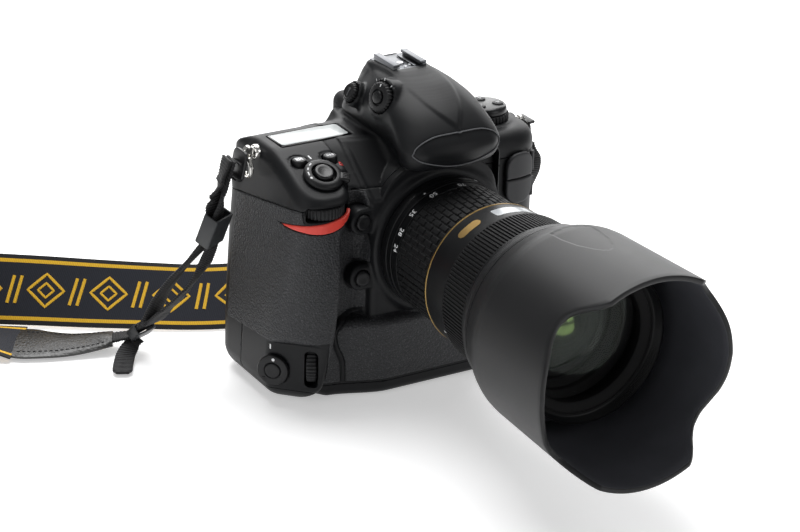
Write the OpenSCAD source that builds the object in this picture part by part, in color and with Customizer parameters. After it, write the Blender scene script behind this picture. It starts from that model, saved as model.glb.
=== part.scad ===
// Digital single-lens reflex camera with a built-in vertical grip, a standard
// zoom lens with a petal hood, and a neck strap.
// Frame: millimetres, +Z up, front of the camera faces -Y, grip at -X.
// Origin: mouth of the tripod socket in the base, under the optical axis.

/* [Body] */
// Grip side of the body, from the optical axis
grip_x = 88; // [86:1:92]
// Other side of the body, from the optical axis
side_x = 70; // [69:1:74]
// Rear wall of the body
rear_y = 34; // [33:1:37]
// Front of the hand grip
grip_y = 44; // [43:1:47]
// Wall of the covers
wall = 2.2; // [2:0.1:2.6]
// Height of the seam between the covers and the top cover
seam_z = 108.5; // [108.5:0.1:109]
// Top deck on the grip side
deck_z = 126; // [125.5:0.1:127]
// Top deck on the other side
shoulder_z = 120.5; // [120:0.1:121]
// Slope of the shutter deck in degrees
slope = 25; // [24:0.5:26]

/* [Lens] */
// Height of the optical axis above the base
axis_z = 77; // [77:0.5:78]
// Face of the lens mount
flange_y = -41; // [-41.5:0.1:-41]
// Radius of the mount throat
throat_r = 23.5; // [23:0.1:24]
// Filter thread radius in the front of the inner barrel
filter_r = 38; // [37.5:0.1:38.2]

/* [Strap] */
// Width of the neck band
band_w = 38; // [36:1:40]
// Width of the webbing
web_w = 11; // [10:1:12]
// Thickness of the strap
strap_t = 2; // [1.6:0.1:2.4]

/* [Hidden] */
$fn = 48;

// Arc of points about a centre, and the plan outline of the body set in by d.
function arc(cx, cy, r, a0, a1, n = 6) =
  [for (i = [0:n]) let (a = a0 + (a1 - a0) * i / n) [cx + r * cos(a), cy + r * sin(a)]];
function plan(d) = concat(
  arc(side_x - 20, -8, 20 - d, -90, 0, 10),
  arc(side_x - 12, rear_y - 12, 12 - d, 0, 90),
  arc(14 - grip_x, rear_y - 14, 14 - d, 90, 180),
  arc(24 - grip_x, 24 - grip_y, 24 - d, 180, 270, 8),
  arc(-60, 9 - grip_y, 9 - d, 270, 360),
  arc(-45.5, -33, 5.5 + d, 180, 0, 8),
  arc(-35, -33, 5 - d, 180, 270),
  arc(35, -34, 4 - d, 270, 360, 4),
  arc(45, -34, 6 + d, 180, 90));

module slab(d, z0, z1) { translate([0, 0, z0]) linear_extrude(z1 - z0) polygon(plan(d)); }
// Side of the grip leans inward above z = 45.
module lean(d) { translate([d - grip_x, 0, 45]) rotate([0, 7.4, 0]) translate([-60, -120, -30]) cube([60, 240, 170]); }
// Lower corner of the grip is a flat facet that carries the vertical release.
module facet(d) { translate([-85.3 + d * 0.707, -24.7 + d * 0.707, 0]) rotate([0, 0, 45]) translate([-60, -80, -5]) cube([60, 160, 43]); }
// Shutter deck slopes to the front.
module deck_cut(d) { translate([-120, -12, deck_z]) rotate([slope, 0, 0]) translate([0, -80, -d]) cube([83, 80, 40]); }
// Behind the status window the deck falls to the back.
module rear_cut(d) { translate([-120, 18.5, deck_z]) rotate([-25, 0, 0]) translate([0, -2, -d]) cube([96, 60, 40]); }
module outer(z0, z1) { difference() { slab(0, z0, z1); lean(0); facet(0); } }
module inner(z0, z1) { difference() { slab(wall, z0, z1); lean(wall); facet(wall); } }
module front_half() { translate([-150, -150, -10]) cube([300, 156, 300]); }
module rear_half() { translate([-150, 6, -10]) cube([300, 150, 300]); }
// Cylinder along -Y that starts at y and runs a length towards the front.
module ycyl(x, y, z, r, len) { translate([x, y, z]) rotate([90, 0, 0]) cylinder(r = r, h = len); }
module ring_y(y0, y1, ro, ri) { translate([0, y1, axis_z]) rotate([90, 0, 0]) rotate_extrude() translate([ri, 0]) square([ro - ri, y1 - y0]); }

// Local frames of the tilted controls.
shutter_p = [-60.6, -28.5, deck_z - (28.5 - 12) * tan(slope)];
module on_deck() { translate(shutter_p) rotate([slope, 0, 0]) children(); }
vertical_p = [-85.3, -24.7, 18.4];
module on_facet() { translate(vertical_p) rotate([0, 0, -45]) rotate([90, 0, 0]) children(); }
module on_vdial() { translate([-67.2, -31.05, 20.5]) rotate([0, 0, -30]) children(); }
meter_p = [-21.6, -18.2, 149];
module on_meter() { translate(meter_p) rotate([0, 0, 9]) rotate([0, -74, 0]) children(); }
dioptre_p = [-25.4, 4, 144.4];
module on_dioptre() { translate(dioptre_p) rotate([0, -62, 0]) children(); }
dial_p = [48.5, -2, shoulder_z];

// ---------------------------------------------------------------- casing
module chassis() color("dimgray") difference() {
  union() {
    ycyl(0, -32, axis_z, 32.4, 4);
    translate([-24.5, -32, 53]) cube([49, 33.5, 44]);
    translate([-20, -30, 2]) cube([40, 17, 51.1]);
    translate([-30, -26, 96]) cube([5.6, 20, 1]);
  }
  translate([-20.5, -31.9, 57]) cube([41, 40, 60]);
  ycyl(0, -30, axis_z, throat_r, 10);
}
// Swelling of the front below the lens, from the vertical grip to the far side.
module lower_boss() translate([0, 0, 2]) linear_extrude(36)
  polygon([[-56, -30], [-56, -40], [-52, -43], [33, -43], [37, -39], [37, -34], [-30, -34], [-30, -24], [-50, -24]]);
module front_cover() color([0.07, 0.07, 0.08]) difference() {
  union() {
    difference() {
      union() { intersection() { outer(2, seam_z); front_half(); } lower_boss(); }
      inner(1, seam_z + 1);
      ycyl(0, -30, axis_z, 34, 20);
    }
    ring_y(-41, -36.5, 37.5, 33);
    ycyl(-42.8, -26, 94, 6.6, 11.5);
    ycyl(-42.8, -26, 64.2, 6.6, 11.5);
  }
  // holes of the controls
  ycyl(-42.8, -20, 94, 4.06, 30);
  ycyl(-42.8, -20, 64.2, 4.06, 30);
  ycyl(48, -20, axis_z - 9, 6.06, 30);
  ycyl(52, -20, 40, 2.06, 30);
  on_facet() translate([0, 0, -10]) cylinder(r = 4.06, h = 30);
  translate([-76, -60, 101.2]) cube([23.6, 42, 6.8]);
  on_vdial() translate([-3.2, -40, -10.6]) cube([6.4, 40, 21.2]);
  translate([60, -12, 6]) cube([20, 38, 26]);
  rubber_zone();
  accent_zone(1.2);
}
// Sleeve set between the front cover and the terminals, and the skin's recess.
module rubber_zone() {
  difference() {
    intersection() {
      difference() { slab(-1, 40, 98); slab(1.2, 30, 110); }
      translate([-100, -60, 40]) cube([44.5, 66.01, 58]);
    }
    lean_keep();
  }
  intersection() {
    translate([0, 0, 45]) lean_slice();
    translate([-100, -24, 47]) cube([60, 28, 51]);
  }
}
module lean_keep() { translate([-100, -24, 30]) cube([60, 60, 90]); }
module lean_slice() {
  translate([-grip_x, -24, 0]) rotate([0, 7.4, 0]) translate([-3, 0, -6]) cube([4.2, 30, 70]);
}
module grip_rubber() color([0.05, 0.05, 0.055]) difference() {
  intersection() {
    rubber_zone();
    difference() { outer(2, seam_z); }
  }
  accent_zone(1.3);
}
// Crescent accent on the front of the grip, under the front dial.
module accent_zone(t) {
  intersection() {
    translate([-63, -20, 112]) rotate([90, 0, 0]) difference() {
      cylinder(r = 17.5, h = 40);
      translate([0, 4, -1]) cylinder(r = 17.6, h = 50);
    }
    difference() { slab(-1, 88, 100); slab(1.2, 80, 110); }
    translate([-79, -60, 88]) cube([26, 60, 9.9]);
  }
}
module accent_strip() color([0.85, 0.2, 0.16]) intersection() { accent_zone(1.2); outer(2, seam_z); }
module prism_body(g) {
  hull() {
    translate([-13 + g, -26, 155.5 - g]) cube([26 - 2 * g, 43, 1]);
    translate([-21 + g, -26, 149]) cube([42 - 2 * g, 51 - g, 1]);
    translate([-29 + g, -28 + g, 140]) cube([58 - 2 * g, 60 - 2 * g, 1]);
    translate([-31 + g, -36 + g, 118 - 3 * g]) cube([62 - 2 * g, 69 - 2 * g, 1]);
    translate([-10 + g, -46 + g, 146 - g]) cube([20 - 2 * g, 2, 1]);
    translate([-22.5 + g, -57 + g, 126]) cube([45 - 2 * g, 2, 8]);
    translate([-18 + g, -54 + g, 120.5 + g]) cube([36 - 2 * g, 2, 16]);
  }
}
module top_cover() color([0.07, 0.07, 0.08]) difference() {
  union() {
    difference() {
      union() {
        outer(seam_z, shoulder_z);
        intersection() {
          difference() { outer(shoulder_z - 1, deck_z); deck_cut(0); }
          translate([-120, -100, 100]) cube([97, 200, 60]);
        }
        prism_body(0);
      }
      difference() {
        union() {
          inner(seam_z - 1, shoulder_z - wall);
          intersection() { inner(shoulder_z - 5, deck_z - wall); translate([-120, -100, 100]) cube([94, 200, 60]); }
        }
        deck_cut(wall);
        rear_cut(wall);
      }
      deck_cut(0);
      rear_cut(0);
      prism_body(2.5);
      translate([-20, -20, 108]) cube([40, 40, 20]);
    }
    difference() { translate([-59.5, -31, seam_z]) cylinder(r = 11.5, h = 24); deck_cut(0); }
    on_deck() translate([0, 0, -4]) cylinder(r = 6.2, h = 7);
    translate(dial_p) translate([0, 0, -1]) cylinder(r = 6, h = 6.2);
    translate(dial_p) translate([0, 0, 4.8]) cylinder(r = 10.8, h = 3.6);
    on_dioptre() translate([0, 0, -4]) cylinder(r = 5.6, h = 4.2);
  }
  // controls
  on_deck() translate([0, 0, -20]) cylinder(r = 5.06, h = 40);
  on_deck() translate([0, 0, -20]) cylinder(r = 6.3, h = 15);
  ycyl(0, -34, axis_z, 37.54, 12);
  translate([-67, -16, 100]) cylinder(r = 3.66, h = 40);
  translate([-50.4, -17, 100]) cylinder(r = 3.66, h = 40);
  translate([-69.4, -2.4, deck_z - 1.2]) cube([39.8, 16.8, 5]);
  for (a = [90, 210, 330]) translate(dial_p) rotate([0, 0, a]) translate([6, 0, 5.6]) cylinder(r = 2.86, h = 10);
  on_meter() cylinder(r = 8.2, h = 20);
  on_meter() translate([0, 0, -8]) cylinder(r = 2.06, h = 20);
  on_dioptre() translate([0, 0, -8]) cylinder(r = 1.66, h = 20);
  on_dioptre() translate([0, 0, 0.2]) cylinder(r = 5.4, h = 20);
  translate([-17.3, 20, 111.7]) cube([34.6, 30, 20.6]);
  translate([-76, 25, 110.2]) cube([27, 30, 7]);
  translate([-9.6, -7, 155]) cube([19.2, 24.01, 5]);
}
module rear_cover() color([0.07, 0.07, 0.08]) difference() {
  union() {
    difference() {
      intersection() { outer(2, seam_z); rear_half(); }
      inner(1, seam_z + 1);
    }
    translate([-40, rear_y - 1, 24]) cube([76, 5, 72]);
  }
  translate([-37, rear_y - 5, 32]) cube([70, 8, 56]);
  translate([-37.5, rear_y + 2, 31.5]) cube([71, 8, 57]);
  ycyl(-58, 60, 90, 6.3, 60);
  ycyl(46, 60, 100, 4.06, 60);
  ycyl(46, 60, 84, 4.06, 60);
  translate([60, -12, 6]) cube([20, 38, 26]);
}
module bottom_cover() color([0.06, 0.06, 0.07]) difference() {
  outer(0, 2);
  translate([0, 0, -1]) cylinder(r = 9.04, h = 10);
  for (p = [[-70, 14], [-66, -20], [56, 20], [52, -16]]) translate([p[0], p[1], -1]) cylinder(r = 1.7, h = 6);
}
module rear_rubber() color([0.05, 0.05, 0.055]) {
  translate([-70, rear_y + 0.02, 14]) cube([26, 3, 18]);
  translate([-70, rear_y + 0.02, 99]) cube([12, 3, 9]);
}
module lens_mount_ring() color("silver") ring_y(flange_y, -36, 32.4, throat_r);
module hot_shoe() color("gainsboro") difference() {
  union() {
    translate([-9.5, -6.9, 155.02]) cube([19, 23.8, 1.4]);
    for (s = [-1, 1]) {
      translate([s * 8.3 - 1.2, -6.9, 156]) cube([2.4, 20, 2.6]);
      translate([s * 7.7 - 1.8, -6.9, 158.5]) cube([3.6, 20, 1.5]);
    }
  }
  translate([0, 3, 150]) cylinder(r = 1.5, h = 6.2);
}
module top_lcd_window() color([0.75, 0.78, 0.76]) translate([-69.2, -2.2, deck_z - 1.19]) cube([39.4, 16.4, 1.4]);
module rear_monitor() color([0.03, 0.03, 0.04]) translate([-37.3, rear_y + 2.02, 31.7]) cube([70.6, 2.4, 56.6]);
module eyepiece_cup() color([0.04, 0.04, 0.045]) difference() {
  translate([-17, 20.2, 112]) cube([34, 21.8, 20]);
  translate([-12, 10, 115.5]) cube([24, 40, 13]);
}
module eyepiece_glass() color([0.5, 0.55, 0.6]) translate([-11.98, 28, 115.52]) cube([23.96, 2.5, 12.96]);
module tripod_bush() color("silver") difference() {
  union() { cylinder(r = 9, h = 2); translate([0, 0, 2.02]) cylinder(r = 11, h = 2); translate([0, 0, 1]) cylinder(r = 9, h = 6.8); }
  translate([0, 0, -1]) cylinder(r = 3.175, h = 7.5);
}
module lug() {
  rotate([0, 90, 0]) cylinder(r = 3.6, h = 2.4);
  difference() {
    translate([2.3, -1.3, -5]) cube([5, 2.6, 8.6]);
    translate([4.8, -5, -2.4]) rotate([-90, 0, 0]) cylinder(r = 1.5, h = 10);
  }
}
module strap_lugs() color("gainsboro") {
  translate([-78.6, 6, 122.5]) rotate([0, 7.4, 0]) mirror([1, 0, 0]) translate([0.5, 0, 0]) lug();
  translate([side_x + 0.05, 6, 112]) lug();
}
module body_screws() color("darkgray") for (p = [[-70, 14], [-66, -20], [56, 20], [52, -16]])
  translate([p[0], p[1], 0.1]) { cylinder(r = 1.66, h = 1.9); translate([0, 0, 1.9]) cylinder(r = 1.2, h = 3); }

// ---------------------------------------------------------------- inside
module pentaprism() color([0.8, 0.85, 0.9]) translate([-16, 0, 0]) rotate([90, 0, 90]) linear_extrude(32)
  polygon([[-30, 98.6], [-4, 98.6], [8, 114], [6, 124], [-12, 136], [-28, 126]]);
module focusing_screen() color([0.85, 0.88, 0.9]) translate([-23, -31, 97.02]) cube([46, 31, 1.4]);
module shutter_unit() color([0.15, 0.15, 0.16]) difference() {
  translate([-24, 1.6, 55]) cube([48, 3.4, 42]);
  translate([-18.2, 1, axis_z - 12.2]) cube([36.4, 2.6, 24.4]);
}
module image_sensor() color([0.2, 0.35, 0.3]) translate([-22, 5.1, axis_z - 16]) cube([44, 4, 32]);
module main_board() color([0.1, 0.35, 0.2]) {
  translate([-46, 12, 36]) cube([96, 1.6, 66]);
  translate([-20, 13.5, 60]) cube([22, 2, 22]);
  translate([14, 13.5, 70]) cube([16, 2, 16]);
}
module battery() color([0.12, 0.12, 0.13]) {
  translate([-24, -9, 8.2]) cube([90, 32, 21]);
  translate([65.9, -11.5, 6.5]) cube([4.1, 37, 25]);
}
mirror_p = [0, -1.9, 90];
module reflex_mirror() color([0.85, 0.87, 0.9]) translate(mirror_p) {
  rotate([0, 90, 0]) translate([0, 0, -19]) cylinder(r = 1.2, h = 38);
  rotate([45, 0, 0]) translate([-19, -29.2, -0.8]) cube([38, 28.6, 1.6]);
}

// ---------------------------------------------------------------- controls
module shutter_button() color([0.05, 0.05, 0.05]) on_deck() {
  translate([0, 0, -6.4]) cylinder(r = 5, h = 10.4);
  translate([0, 0, -7.4]) cylinder(r = 5.9, h = 1.2);
}
module power_switch() color([0.06, 0.06, 0.065]) on_deck() difference() {
  union() {
    translate([0, 0, 0.3]) cylinder(r = 10, h = 2.6);
    rotate([0, 0, -28]) translate([8, -2, 0.3]) cube([5, 4, 3.2]);
  }
  translate([0, 0, -1]) cylinder(r = 6.26, h = 10);
}
module top_button(p, top) translate([p[0], p[1], 0]) {
  translate([0, 0, top - 8]) cylinder(r = 3.6, h = 8);
  translate([0, 0, top - 9]) cylinder(r = 4.4, h = 1.2);
}
module mode_button() color([0.06, 0.06, 0.06]) top_button([-50.4, -17], 124.6);
module exposure_button() color([0.06, 0.06, 0.06]) top_button([-67, -16], 125);
module front_dial() color([0.05, 0.05, 0.05]) translate([-64, -33.6, 101.6]) difference() {
  cylinder(r = 11.2, h = 6);
  translate([0, 0, -1]) cylinder(r = 1.5, h = 10);
}
module vertical_shutter_button() color([0.05, 0.05, 0.05]) on_facet() {
  translate([0, 0, -4.6]) cylinder(r = 4, h = 7.2);
  translate([0, 0, -5.6]) cylinder(r = 4.7, h = 1.2);
}
module vertical_lock_collar() color([0.06, 0.06, 0.065]) on_facet() difference() {
  translate([0, 0, 0.2]) cylinder(r = 8, h = 2);
  translate([0, 0, -1]) cylinder(r = 4.06, h = 10);
}
module vertical_dial() color([0.05, 0.05, 0.05]) on_vdial() rotate([0, 90, 0]) difference() {
  cylinder(r = 9.6, h = 5.6, center = true);
  cylinder(r = 1.5, h = 10, center = true);
}
module front_button(z) {
  ycyl(-42.8, -20.6, z, 4, 18.4);
  ycyl(-42.8, -19.6, z, 5.2, 1.2);
}
module preview_button() color([0.05, 0.05, 0.05]) front_button(94);
module function_button() color([0.05, 0.05, 0.05]) front_button(64.2);
module lens_release_button() color([0.05, 0.05, 0.05]) { ycyl(48, -24.4, axis_z - 9, 6, 8.6); ycyl(48, -23.2, axis_z - 9, 7.2, 1.4); }
module focus_mode_lever() color([0.06, 0.06, 0.06]) {
  ycyl(52, -24, 40, 2, 5);
  ycyl(52, -28.3, 40, 6, 3.2);
  translate([51, -33, 40]) cube([2, 3, 9]);
}
module metering_knob() color([0.05, 0.05, 0.05]) on_meter() {
  translate([0, 0, 0.3]) cylinder(r = 7.8, h = 3.6);
  translate([0, 0, -3]) cylinder(r = 2, h = 4);
}
module dioptre_knob() color([0.05, 0.05, 0.05]) on_dioptre() {
  translate([0, 0, 0.5]) cylinder(r = 5, h = 3.4);
  translate([0, 0, -3]) cylinder(r = 1.6, h = 4);
}
module release_dial() color([0.05, 0.05, 0.05]) translate(dial_p) difference() {
  translate([0, 0, 0.3]) cylinder(r = 11.8, h = 4.1);
  translate([0, 0, -1]) cylinder(r = 6.06, h = 10);
}
module dial_button(a) translate(dial_p) rotate([0, 0, a]) translate([6, 0, 6.8]) cylinder(r = 2.8, h = 2.4);
module quality_button() color([0.06, 0.06, 0.06]) dial_button(90);
module balance_button() color([0.06, 0.06, 0.06]) dial_button(210);
module sensitivity_button() color([0.06, 0.06, 0.06]) dial_button(330);
module rear_dial() color([0.05, 0.05, 0.05]) translate([-62.5, 25.6, 110.6]) difference() {
  cylinder(r = 11, h = 6);
  translate([0, 0, -1]) cylinder(r = 1.5, h = 10);
}
module multi_selector() color([0.05, 0.05, 0.05]) {
  translate([-58, rear_y + 1.4, 90]) rotate([-90, 0, 0]) cylinder(r = 8, h = 2.4);
  translate([-58, rear_y - 1, 90]) rotate([-90, 0, 0]) cylinder(r = 3, h = 3);
  translate([-60.6, rear_y - 1, 90]) rotate([0, 90, 0]) cylinder(r = 1.5, h = 5.2);
}
module card_door() color([0.06, 0.06, 0.07]) {
  translate([-73.9, rear_y + 1.75, 40]) cylinder(r = 1.5, h = 38);
  translate([-72.6, rear_y + 0.3, 40]) cube([26, 2.6, 38]);
}
module rear_button(z) { ycyl(46, rear_y + 2, z, 4, 6); ycyl(46, rear_y - 3, z, 5, 1.2); }
module playback_button() color([0.05, 0.05, 0.05]) rear_button(100);
module menu_button() color([0.05, 0.05, 0.05]) rear_button(84);
module terminal_cover(z) {
  translate([50 + 21.7 * cos(-57), -8 + 21.7 * sin(-57), z]) cylinder(r = 1.2, h = 13.4);
  translate([50, -8, z]) linear_extrude(13.4) polygon(concat([[-5.8, -22.9]], arc(0, 0, 22.9, -90, -59, 8), arc(0, 0, 20.3, -59, -90, 8), [[-5.8, -20.3]]));
}
module terminal_cover_upper() color([0.08, 0.08, 0.09]) terminal_cover(97.3);
module terminal_cover_lower() color([0.08, 0.08, 0.09]) terminal_cover(83.5);

// ---------------------------------------------------------------- lens
module lens_barrel() color([0.06, 0.06, 0.065]) translate([0, 0, axis_z]) rotate([90, 0, 0]) rotate_extrude($fn = 96)
  polygon([[21, 39], [throat_r - 0.06, 39], [throat_r - 0.06, 41.1], [35, 41.1], [35, 56], [33, 56], [33, 86],
    [36.8, 86], [38, 106], [38.2, 106], [38.2, 128.2], [41.4, 128.2], [41.4, 150], [39.5, 150], [39.5, 130],
    [36.2, 128.4], [36.2, 100], [34.8, 88], [31, 84], [31, 60], [28, 44], [21, 44]]);
module zoom_ring() color([0.05, 0.05, 0.05]) ring_y(-85.8, -56.3, 34.6, 33.06);
module focus_ring() color([0.05, 0.05, 0.05]) ring_y(-127.9, -106.4, 40.4, 38.26);
module inner_barrel() color([0.05, 0.05, 0.055]) translate([0, 0, axis_z]) rotate([90, 0, 0]) rotate_extrude($fn = 96)
  polygon([[33.6, 122], [36.14, 122], [36.14, 150.6], [39.3, 151.2], [39.3, 177.5], [filter_r, 177.5], [filter_r, 171.5], [31.5, 171.5], [31.5, 166], [33.6, 164]]);
module front_element() color([0.1, 0.25, 0.2]) translate([0, 0, axis_z]) rotate([90, 0, 0]) rotate_extrude($fn = 96)
  polygon([[0, 158], [31.4, 158], [31.4, 166.5], [22, 168.5], [11, 170], [0, 170.5]]);
module rear_element() color([0.3, 0.35, 0.4]) ycyl(0, -40, axis_z, 20.96, 3.5);
// Petal rim of the hood seen from the side: long petals above and below, short ones at
// the sides. Each pair is the height as a share of the rim radius and the rim's distance.
rim_side = [[0, 213.5], [0.2, 212.6], [0.34, 211], [0.5, 207.6], [0.62, 206.5], [0.74, 210.7], [0.81, 217.7], [0.88, 224]];
module rim_cut() translate([-70, 0, axis_z]) rotate([90, 0, 90]) linear_extrude(140)
  for (m = [-1, 1]) polygon(concat([[-260, -0.01 * m]], [for (p = rim_side) [-p[1], m * 53 * p[0] - (p[0] == 0 ? 0.01 * m : 0)]], [[-260, m * 53 * 0.88]]));
module lens_hood() color([0.06, 0.06, 0.065]) difference() {
  translate([0, 0, axis_z]) rotate([90, 0, 0]) rotate_extrude($fn = 96)
    polygon([[41.46, 132], [43.4, 132], [46, 141], [50, 152], [53, 223.5], [51, 223.5], [48, 154], [43.5, 150.5], [41.46, 150.5]]);
  rim_cut();
}

// ---------------------------------------------------------------- strap
// A flat strap swept along a route; each point is [x, y, z, lean] where lean is the
// angle of the strap's width from the floor, and w0, w1 are its end widths.
function sub(a, b) = [a[0] - b[0], a[1] - b[1], a[2] - b[2]];
function unit(a) = a / max(norm(a), 1e-6);
function tang(p, i) = unit(sub(p[min(i + 1, len(p) - 1)], p[max(i - 1, 0)]));
function side(p, i) = let (t = tang(p, i), h = unit(cross([0, 0, 1], t)), v = unit(cross(t, h)), a = p[i][3]) h * cos(a) + v * sin(a);
module strap(p, w0, w1, t) {
  n = len(p);
  pts = [for (i = [0:n - 1]) let (s = side(p, i), q = unit(cross(tang(p, i), s)), w = (w0 + (w1 - w0) * i / (n - 1)) / 2,
    c = [p[i][0], p[i][1], p[i][2]]) each [c + s * w + q * t / 2, c - s * w + q * t / 2, c - s * w - q * t / 2, c + s * w - q * t / 2]];
  polyhedron(points = pts, faces = concat([[0, 1, 2, 3]], [[4 * n - 1, 4 * n - 2, 4 * n - 3, 4 * n - 4]],
    [for (i = [0:n - 2]) for (k = [0:3]) let (a = 4 * i, j = (k + 1) % 4) each
      [[a + k, a + 4 + j, a + j], [a + k, a + 4 + k, a + 4 + j]]]));
}
web_left = [[-92.5, 6.4, 121, 0], [-95.4, 6.8, 111, 0], [-97.4, 7.4, 101, 0], [-99, 9, 90.5, 0], [-101.2, 13, 79, 0], [-105, 21, 67, 0],
  [-111, 31, 53, 0], [-115, 41, 38, 0], [-117, 50, 23, 0], [-120, 59, 11, 0], [-126, 66, 7, 0], [-132, 69, 6, 0]];
web_right = [[79.4, 6, 100, 0], [83.6, 7.5, 91, 0], [86.4, 12, 79.5, 0], [87.2, 18.6, 67.5, 0], [86.8, 25.4, 55.2, 0], [85, 32, 42.5, 0],
  [81.8, 38.2, 28.8, 0], [77, 43.4, 16.6, 0], [70, 48, 8.2, 0], [62, 51.2, 5, 0], [54, 53, 4, 0]];
end_left = [[-132.4, 69.2, 5, 0], [-142, 74, 3, 0], [-152, 79, 2, 0], [-162, 85, 2, 0], [-172, 92, 2, 0]];
end_right = [[52.6, 53.6, 5, 0], [44, 57, 5, 10], [32, 60, 8, 25], [18, 62, 12, 40], [4, 62, 15, 48]];
band = [[-172.4, 92.4, 2.2, 0], [-184, 101, 4.4, 8], [-196, 108, 8, 20], [-210, 113, 13, 38], [-226, 117, 17, 60], [-244, 120, 20, 78],
  [-264, 123, 20, 86], [-284, 129, 20, 88], [-302, 141, 20, 88], [-312, 158, 20, 88], [-313, 178, 20, 88], [-304, 194, 20, 88],
  [-288, 203, 20, 88], [-268, 200, 20, 86], [-248, 186, 20, 82], [-230, 170, 20, 76], [-212, 156, 19, 68],
  [-192, 143, 18, 60], [-170, 131, 17, 54], [-148, 119, 16, 50], [-124, 105, 15, 46], [-100, 92, 14, 42],
  [-76, 80, 13, 40], [-52, 71, 13, 40], [-28, 65, 14, 44], [3.4, 62.2, 15, 48]];
module strap_neckband() color([0.06, 0.07, 0.12]) strap(band, band_w, band_w, strap_t);
module strap_webbing() color([0.04, 0.04, 0.05]) { strap(web_left, web_w, web_w, strap_t); strap(web_right, web_w, web_w, strap_t); }
module strap_ends() color([0.05, 0.05, 0.05]) { strap(end_left, 14, 36, strap_t); strap(end_right, 14, 36, strap_t); }
module split_ring(p) translate(p) rotate([0, 90, 0]) rotate_extrude() translate([5, 0]) circle(r = 0.9);
// Slide or keeper: a short sleeve round the webbing between two points of its route.
module sleeve(a, b, len) {
  d = [b[0] - a[0], b[1] - a[1], b[2] - a[2]];
  translate([a[0], a[1], a[2]] + d / 2) rotate([0, acos(d[2] / norm(d)), atan2(d[1], d[0])]) difference() {
    cube([6.6, web_w + 5.2, len], center = true);
    cube([5, web_w + 2.6, len + 4], center = true);
  }
}
module strap_fittings() color([0.3, 0.3, 0.32]) {
  split_ring([-84.2, 6, 115.8]);
  split_ring([74.9, 6, 104.6]);
  sleeve(web_left[3], web_left[4], 5);
  sleeve(web_left[9], web_left[10], 6);
  sleeve(web_right[8], web_right[9], 5);
}

chassis();
front_cover();
top_cover();
rear_cover();
bottom_cover();
grip_rubber();
rear_rubber();
lens_mount_ring();
hot_shoe();
top_lcd_window();
rear_monitor();
eyepiece_cup();
eyepiece_glass();
accent_strip();
tripod_bush();
strap_lugs();
body_screws();
pentaprism();
focusing_screen();
image_sensor();
shutter_unit();
main_board();
shutter_button();
power_switch();
mode_button();
exposure_button();
front_dial();
vertical_shutter_button();
vertical_lock_collar();
vertical_dial();
preview_button();
function_button();
lens_release_button();
metering_knob();
dioptre_knob();
release_dial();
quality_button();
balance_button();
sensitivity_button();
focus_mode_lever();
rear_dial();
multi_selector();
card_door();
reflex_mirror();
battery();
playback_button();
menu_button();
terminal_cover_upper();
terminal_cover_lower();
lens_barrel();
zoom_ring();
focus_ring();
inner_barrel();
front_element();
rear_element();
lens_hood();
strap_neckband();
strap_webbing();
strap_ends();
strap_fittings();
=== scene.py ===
import bpy, bmesh, math
import numpy as np
from mathutils import Matrix, Vector


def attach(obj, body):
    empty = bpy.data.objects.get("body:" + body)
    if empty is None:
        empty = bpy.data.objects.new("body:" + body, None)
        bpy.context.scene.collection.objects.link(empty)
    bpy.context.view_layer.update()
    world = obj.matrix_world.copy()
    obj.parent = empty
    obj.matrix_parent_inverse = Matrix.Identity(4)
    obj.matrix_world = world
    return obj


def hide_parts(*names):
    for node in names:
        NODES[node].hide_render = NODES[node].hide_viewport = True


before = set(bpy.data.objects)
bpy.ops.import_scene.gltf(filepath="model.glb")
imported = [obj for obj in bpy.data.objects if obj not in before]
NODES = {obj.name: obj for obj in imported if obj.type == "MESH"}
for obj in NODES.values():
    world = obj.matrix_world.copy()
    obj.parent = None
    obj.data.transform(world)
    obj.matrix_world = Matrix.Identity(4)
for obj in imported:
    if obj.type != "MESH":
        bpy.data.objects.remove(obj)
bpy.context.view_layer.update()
MM = 0.001


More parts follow.
